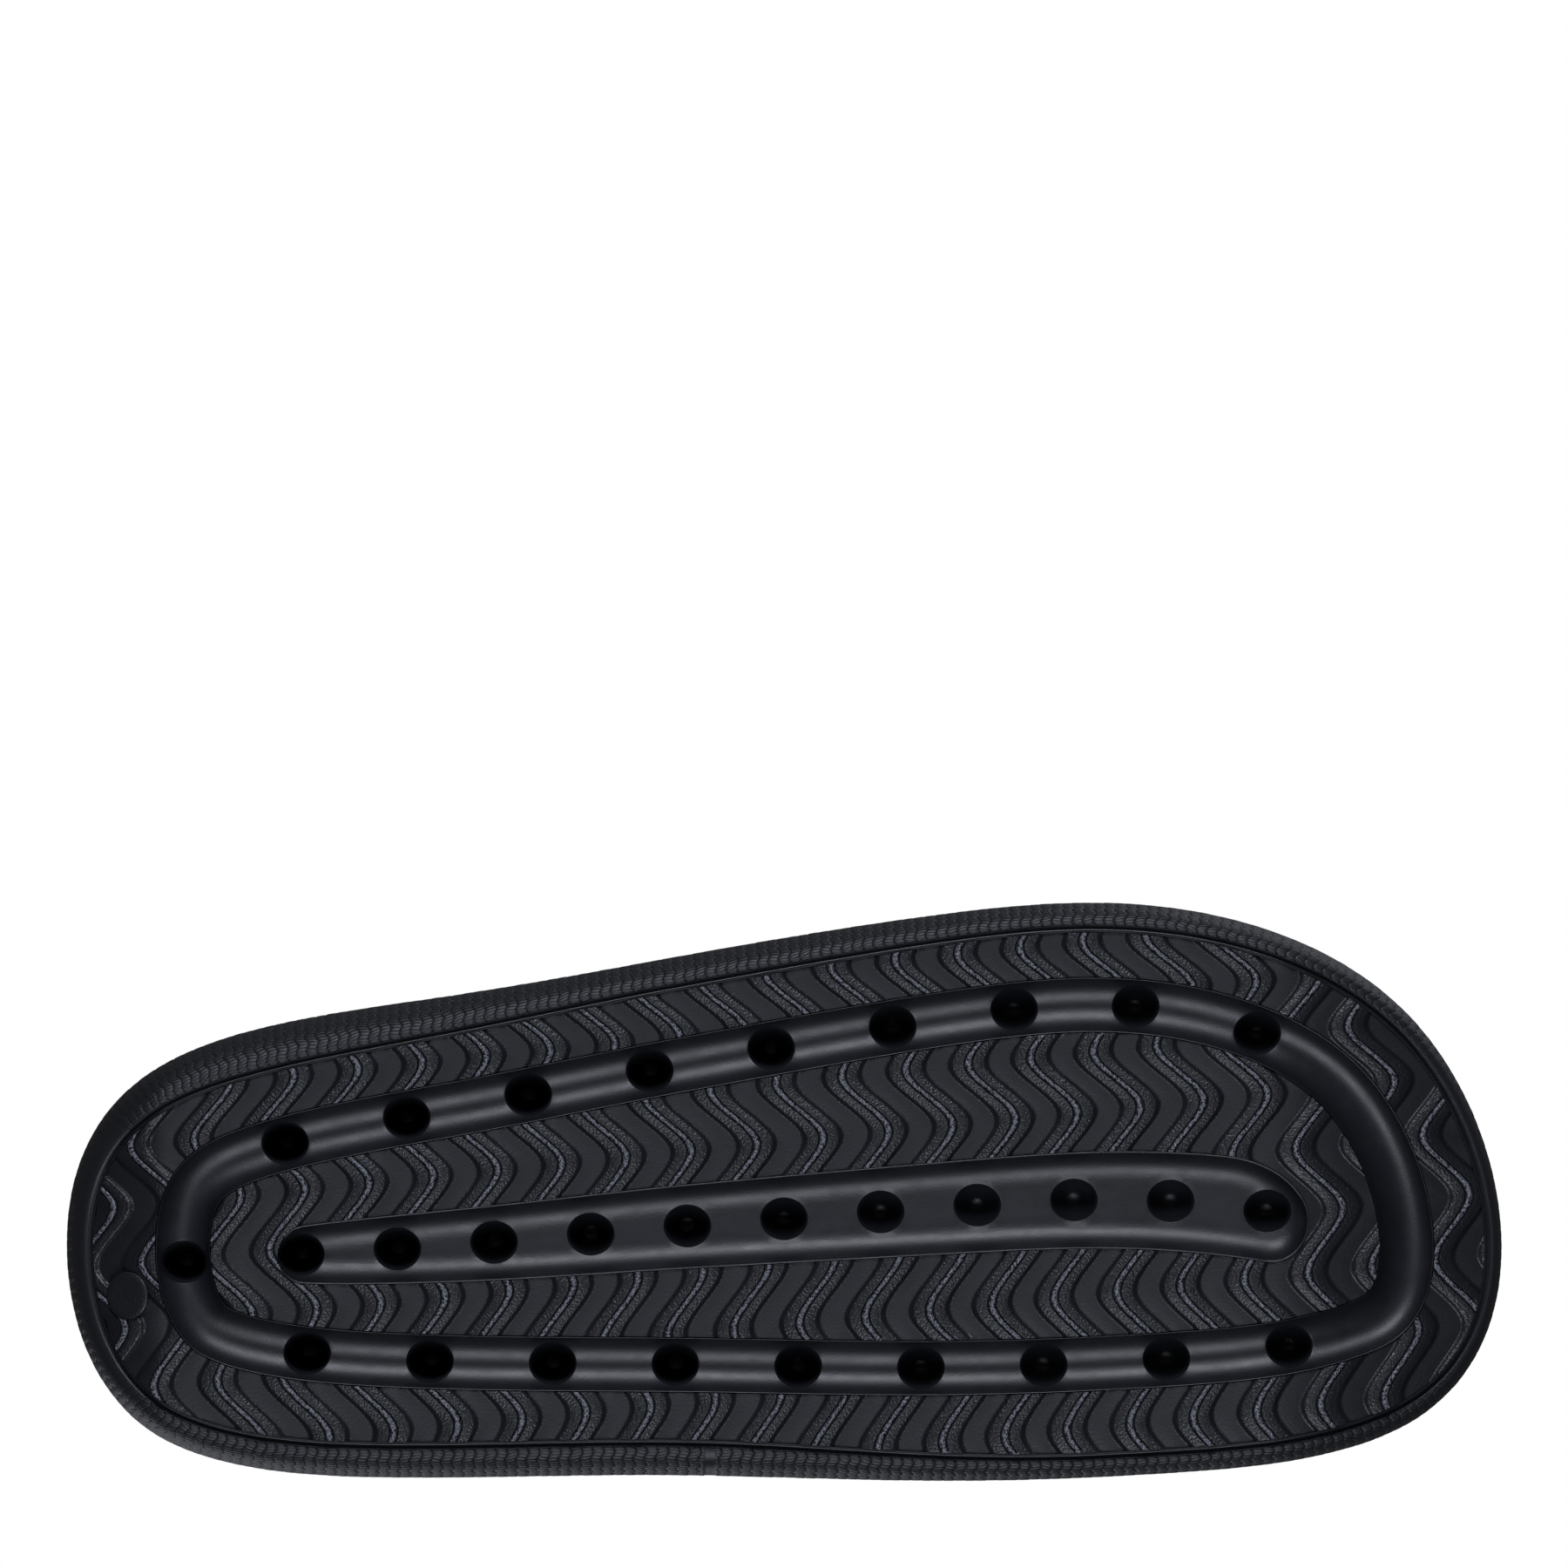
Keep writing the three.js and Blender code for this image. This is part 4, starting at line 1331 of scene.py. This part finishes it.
@dataclass
class SideBand(SubAssembly):
    """The textured band round the side wall, butt joined at the medial waist."""

    thickness: float = 1.6
    columns: int = 2100
    joint_share: float = 0.449
    joint_gap: float = 0.03
    column_mm: float = BAND_COLUMN
    relief: float = 0.2
    unevenness: float = 0.05
    bare_depth: float = 0.12  # how far the face lies back where there is no weave

    def build(self) -> bpy.types.Object:
        """Builds the band as one closed strip whose ends meet at the joint.

        Returns:
            The object.
        """
        form, n = self.form, self.columns
        low = np.linspace(0.0, 0.5, 27)
        turns = math.pi * np.concatenate([low, np.linspace(0.5, 1.0, 24)[1:]])
        outer = np.stack([form.wall(t, 0.0, n) for t in turns])
        inner = np.stack([form.wall(t, self.thickness, n) for t in math.pi * np.linspace(0, 1, 9)])
        base = resample(form.fine, n)
        medial = np.arange(n) >= n // 2
        start = int(np.where(medial & (form.share(base[:, 0]) < self.joint_share))[0][0])
        facing = np.roll(loop_normals(base)[:, 0] ** 2, -start)
        outer, inner = (self.cut_open(np.roll(grid, -start, axis=1)) for grid in (outer, inner))
        n, facing = n + 1, np.append(facing, facing[-1])
        around = np.linalg.norm(np.diff(outer[len(low) - 1], axis=0), axis=1)
        along = np.concatenate([[0.0], np.cumsum(around)])
        upward = np.linalg.norm(np.diff(outer, axis=0), axis=2)
        up = np.concatenate([np.zeros((1, n)), np.cumsum(upward, axis=0)])
        woven = self.woven_share(along, up, facing)
        weave = np.stack([np.broadcast_to(along, up.shape), up, woven], 2)
        rows = np.concatenate([self.emboss(outer, weave), inner[::-1]])
        sections = rows.transpose(1, 0, 2)
        size = sections.shape[1]
        faces = [
            *skin(n, size)[:, ::-1].tolist(),
            *strip_cap(0, size, False).tolist(),
            *strip_cap((n - 1) * size, size, True).tolist(),
        ]
        piece = make_piece("side_band_woven", sections.reshape(-1, 3), faces, 60.0)
        marks = np.concatenate([weave, np.zeros((len(inner), n, 3))]).transpose(1, 0, 2).reshape(-1, 3)
        set_attribute(piece, "weave_mm", marks)
        return self.dress(piece, "sidewall_band", "embossed_band")

    def cut_open(self, grid: Array) -> Array:
        """The grid with one more column, that stops a hair short of the first.

        Args:
            grid: points of a face, in rows.

        Returns:
            The grid with the added column.
        """
        step = grid[:, :1] - grid[:, -1:]
        share = 1 - self.joint_gap / np.linalg.norm(step, axis=2, keepdims=True)
        return np.concatenate([grid, grid[:, -1:] + step * share], axis=1)

    def woven_share(self, along: Array, up: Array, facing: Array) -> Array:
        """How much of the weave shows: none by the joint, or low on the wall at the heel and the toe.

        Args:
            along: distance of each column from the joint.
            up: distance of each point up the wall, in rows.
            facing: 1 where a column faces the heel or the toe, 0 where it faces a side.

        Returns:
            0 to 1 at each point.
        """
        from_joint = np.minimum(along, along[-1] - along)
        bare = ease(0.35, 0.8, facing) * (1 - ease(3.0, 6.5, up))
        return ease(0.9, 1.3, from_joint) * (1 - bare)

    def emboss(self, grid: Array, weave: Array) -> Array:
        """Presses the columns of the weave into the outer face, never above it.

        Args:
            grid: the outer face's points, in rows.
            weave: distance along, distance up and share of the weave at each point.

        Returns:
            The pressed points.
        """
        across = np.roll(grid, -1, 1) - np.roll(grid, 1, 1)
        across[:, 0], across[:, -1] = grid[:, 1] - grid[:, 0], grid[:, -1] - grid[:, -2]
        upward = np.gradient(grid, axis=0)
        normals = np.cross(across, upward)
        normals /= np.maximum(np.linalg.norm(normals, axis=2, keepdims=True), 1e-9)
        along, up, woven = np.moveaxis(weave, 2, 0)
        column = along / self.column_mm + BAND_SWAY * np.sin(BAND_SWAY_RATE * up)
        number = np.floor(column)
        across_column = np.abs(column - number - 0.5) * 2
        # An even spread from 0 to 1 that is the same each run.
        chance = np.modf(np.abs(np.sin(number * 12.9898) * 43758.5453))[0]
        pressed = self.relief * across_column ** 6 + self.unevenness * chance
        return grid - normals * mix(self.bare_depth, pressed, woven)[..., None]


@dataclass
class Insole(SubAssembly):
    """The cushion and its cover, lying in the midsole's recess."""

    cover_material: bpy.types.Material
    cushion: float = 6.0
    cover: float = 1.0
    gap: float = 0.3
    edge_points: int = 640
    edge_round: float = 0.6
    edge_drop: float = 0.55
    seam_inset: float = 3.6
    seam_width: float = 0.42
    seam_depth: float = 0.32

    def sheet_between(self, name: str, top: float, bottom: float,
                      inset: float) -> tuple[bpy.types.Object, float]:
        """A dished layer.

        Args:
            name: the piece's name.
            top: drop of its upper face below the insole's top.
            bottom: drop of its lower face.
            inset: how far its edge lies inside the rim.

        Returns:
            The object, and its flat area in square millimetres.
        """
        form, plane = self.form, PlanarMesh()
        start = form.top_inset + form.rim_width + inset
        edge = form.line(start, 0.0, self.edge_points)
        inward = (0.0, 0.25, 0.6, 1.2, 2.0, 3.0, 3.6, 4.2, 5.2, 7.0, 9.0, 11.0, 13.0, 15.0, 17.0)
        for step in inward:
            plane.add(form.line(start + step, 0.0, self.edge_points), True)
        x, y = np.meshgrid(np.arange(-130, 131, 2.5), np.arange(-52, 53, 2.5))
        middle = np.column_stack([x.ravel(), y.ravel()])
        plane.add(middle[distance_to(middle, edge) > inward[-1] + 1.0], None)
        xy, triangles = plane.triangulate(lambda p: distance_to(p, edge) > 0)
        inside = np.maximum(distance_to(xy, edge), 0.0)
        upper = form.footbed(xy[:, 0], inside, top) + self.trim(inside, top)
        lower = form.footbed(xy[:, 0], inside, bottom)
        points, faces = closed_slab(xy, triangles, lower, upper)
        (x, y), (next_x, next_y) = edge.T, np.roll(edge, -1, axis=0).T
        flat = 0.5 * abs(float(np.sum(x * next_y - next_x * y)))
        return make_piece(name, points, faces, 50.0), flat

    def trim(self, inside: Array, top: float) -> Array:
        """Rounded edge and pressed seam line of the top face; the cushion below has neither.

        Args:
            inside: distance of each point inside the edge.
            top: drop of the layer's upper face below the insole's top.

        Returns:
            What is added to the height at each point.
        """
        if top > 0:
            return np.zeros_like(inside)
        rounded = np.clip(1 - inside / self.edge_round, 0.0, 1.0) ** 2
        seam = np.exp(-((inside - self.seam_inset) / self.seam_width) ** 2)
        return -self.edge_drop * rounded - self.seam_depth * seam

    def build(self) -> list[bpy.types.Object]:
        """Builds the cushion, then the cover on it.

        Returns:
            Both objects.
        """
        below = self.cover + self.gap
        cushion, _ = self.sheet_between("insole_cushion_foam", below, below + self.cushion, self.gap)
        self.dress(cushion, "insole_cushion", "cushion_foam")
        cover, flat = self.sheet_between("insole_cover_knit", 0.0, self.cover, self.gap)
        cover.data.materials.append(self.cover_material)
        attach(cover, ROOT)
        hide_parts("insole_cover")
        LOG.info("%s: flat area %.4f m2", cover.name, flat * MM * MM)
        return [cushion, cover]


# ---------------------------------------------------------------- the studio


@dataclass(frozen=True)
class Softbox:
    """A rectangular soft light that faces the sole and that the camera doesn't see."""

    name: str
    across: float  # degrees from straight below towards the medial side
    along: float  # degrees from there towards the toe
    distance: float  # metres
    size: tuple[float, float]  # metres along the sole, and across that
    radiance: float
    in_reflections: bool = True

    TINT = (0.93, 0.97, 1.08)  # a cool daylight

    def build(self) -> None:
        """Hangs the light."""
        across, along = math.radians(self.across), math.radians(self.along)
        below = math.cos(along)
        place = Vector((math.sin(along), math.sin(across) * below, -math.cos(across) * below))
        data = bpy.data.lights.new(self.name, "AREA")
        data.shape, data.size, data.size_y = "RECTANGLE", *self.size
        data.energy = self.radiance * math.pi * self.size[0] * self.size[1]
        data.color = self.TINT
        light = bpy.data.objects.new(self.name, data)
        light.location = place * self.distance
        light.rotation_euler = (-place).to_track_quat("-Z", "Y").to_euler()
        light.visible_camera, light.visible_glossy = False, self.in_reflections
        bpy.context.scene.collection.objects.link(light)


@dataclass
class Studio:
    """Camera, soft lights, white world and a pale floor."""

    picture_width: float = 0.2928  # what the picture spans at the sole, in metres
    distance: float = 3.0
    sensor: float = 36.0
    centre_offset: float = -0.0765
    floor_size: float = 14.0
    floor_drop: float = 0.0004
    glow_below: float = 0.016
    glow_above: float = 0.06

    LIGHTS = (
        Softbox("softbox_lateral_low", -47, 0, 1.4, (0.66, 0.56), 12.5),
        Softbox("softbox_medial_low", 41, 0, 1.4, (0.66, 0.52), 6.5),
        Softbox("fill_low_medial", 27, 0, 1.6, (0.44, 0.24), 12.5),
        Softbox("softbox_over", 180, -12, 2.0, (1.6, 1.0), 7.0, False),
        Softbox("softbox_over_medial", 138, -20, 2.0, (1.4, 1.0), 1.4),
        Softbox("softbox_over_lateral", -140, 22, 2.0, (1.2, 0.9), 1.2),
    )

    def camera(self) -> None:
        """A long lens below the sole, looking straight up, with the sole's lateral side uppermost."""
        data = bpy.data.cameras.new("camera")
        data.sensor_width = self.sensor
        data.lens = self.sensor * self.distance / self.picture_width
        data.clip_end = 50.0
        eye = bpy.data.objects.new("camera", data)
        eye.location = (0.0, self.centre_offset, -self.distance)
        eye.rotation_euler = (math.pi, 0.0, 0.0)
        bpy.context.scene.collection.objects.link(eye)
        bpy.context.scene.camera = eye

    def world(self) -> None:
        """White where the camera looks past the sole, and dim for everything else, more so below."""
        book = NodeBook(bpy.data.worlds.new("studio"))
        direction = book.add("TexCoord").outputs["Generated"]
        height = book.add("SeparateXYZ", (direction,)).outputs["Z"]
        glow = book.add("MapRange", (height, -0.2, 0.6, self.glow_below, self.glow_above))
        seen = book.add("LightPath").outputs["Is Camera Ray"]
        strength = book.add("MapRange", {"Value": seen, "To Min": glow})
        sky = book.add("Background", {"Color": (1, 1, 1, 1), "Strength": strength})
        book.add("OutputWorld", (sky,))
        bpy.context.scene.world = book.owner

    def floor(self) -> None:
        """A pale floor that shows from above only, so that light and lens reach the sole from below."""
        half = self.floor_size / 2
        square = [(-half, -half, 0), (half, -half, 0), (half, half, 0), (-half, half, 0)]
        mesh = bpy.data.meshes.new("floor")
        mesh.from_pydata(square, [], [(0, 1, 2, 3)])
        floor = bpy.data.objects.new("floor", mesh)
        bpy.context.scene.collection.objects.link(floor)
        book = NodeBook(bpy.data.materials.new("studio_floor_matte"))
        # Matte paint on its upper face, and nothing at all on its lower one.
        paint = book.add("BsdfPrincipled", {"Base Color": hex_colour("#f4f4f3"), "Roughness": 0.9})
        back = book.add("NewGeometry").outputs["Backfacing"]
        both = book.add("MixShader", (back, paint, book.add("BsdfTransparent")))
        book.add("OutputMaterial", (both,))
        mesh.materials.append(book.owner)
        floor.location.z = -self.floor_drop
        floor.visible_shadow = floor.visible_diffuse = floor.visible_glossy = False
        floor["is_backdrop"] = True

    def build(self) -> None:
        """Sets up everything round the sole."""
        self.camera()
        self.world()
        self.floor()
        for light in self.LIGHTS:
            light.build()
        bpy.context.scene.view_settings.view_transform = "Standard"


def corners(bounds: Any) -> list[list[float]]:
    """Two corners as plain lists of numbers."""
    return [[float(value) for value in corner] for corner in bounds]


def main() -> None:
    """Builds the studio, then the sole from the ground up, sized to the CAD parts' box."""
    logging.basicConfig(level=logging.INFO, format="%(message)s")
    cad_box = corners(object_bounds())
    Studio().build()
    size = [(high - low) / MM for low, high in zip(*cad_box)]
    form = SoleForm(length=size[0], width=size[1])
    bar = MiddleGutter(form)
    foam, rubber = MouldedFoam().make(), EtchedTread().make()
    Midsole(form, foam, bar).build()
    Tread(form, rubber, bar, RibPattern(form)).build()
    SideBand(form, WovenBand().make()).build()
    Insole(form, CushionFoam().make(), KnitCover().make()).build()


if __name__ == "__main__":
    main()
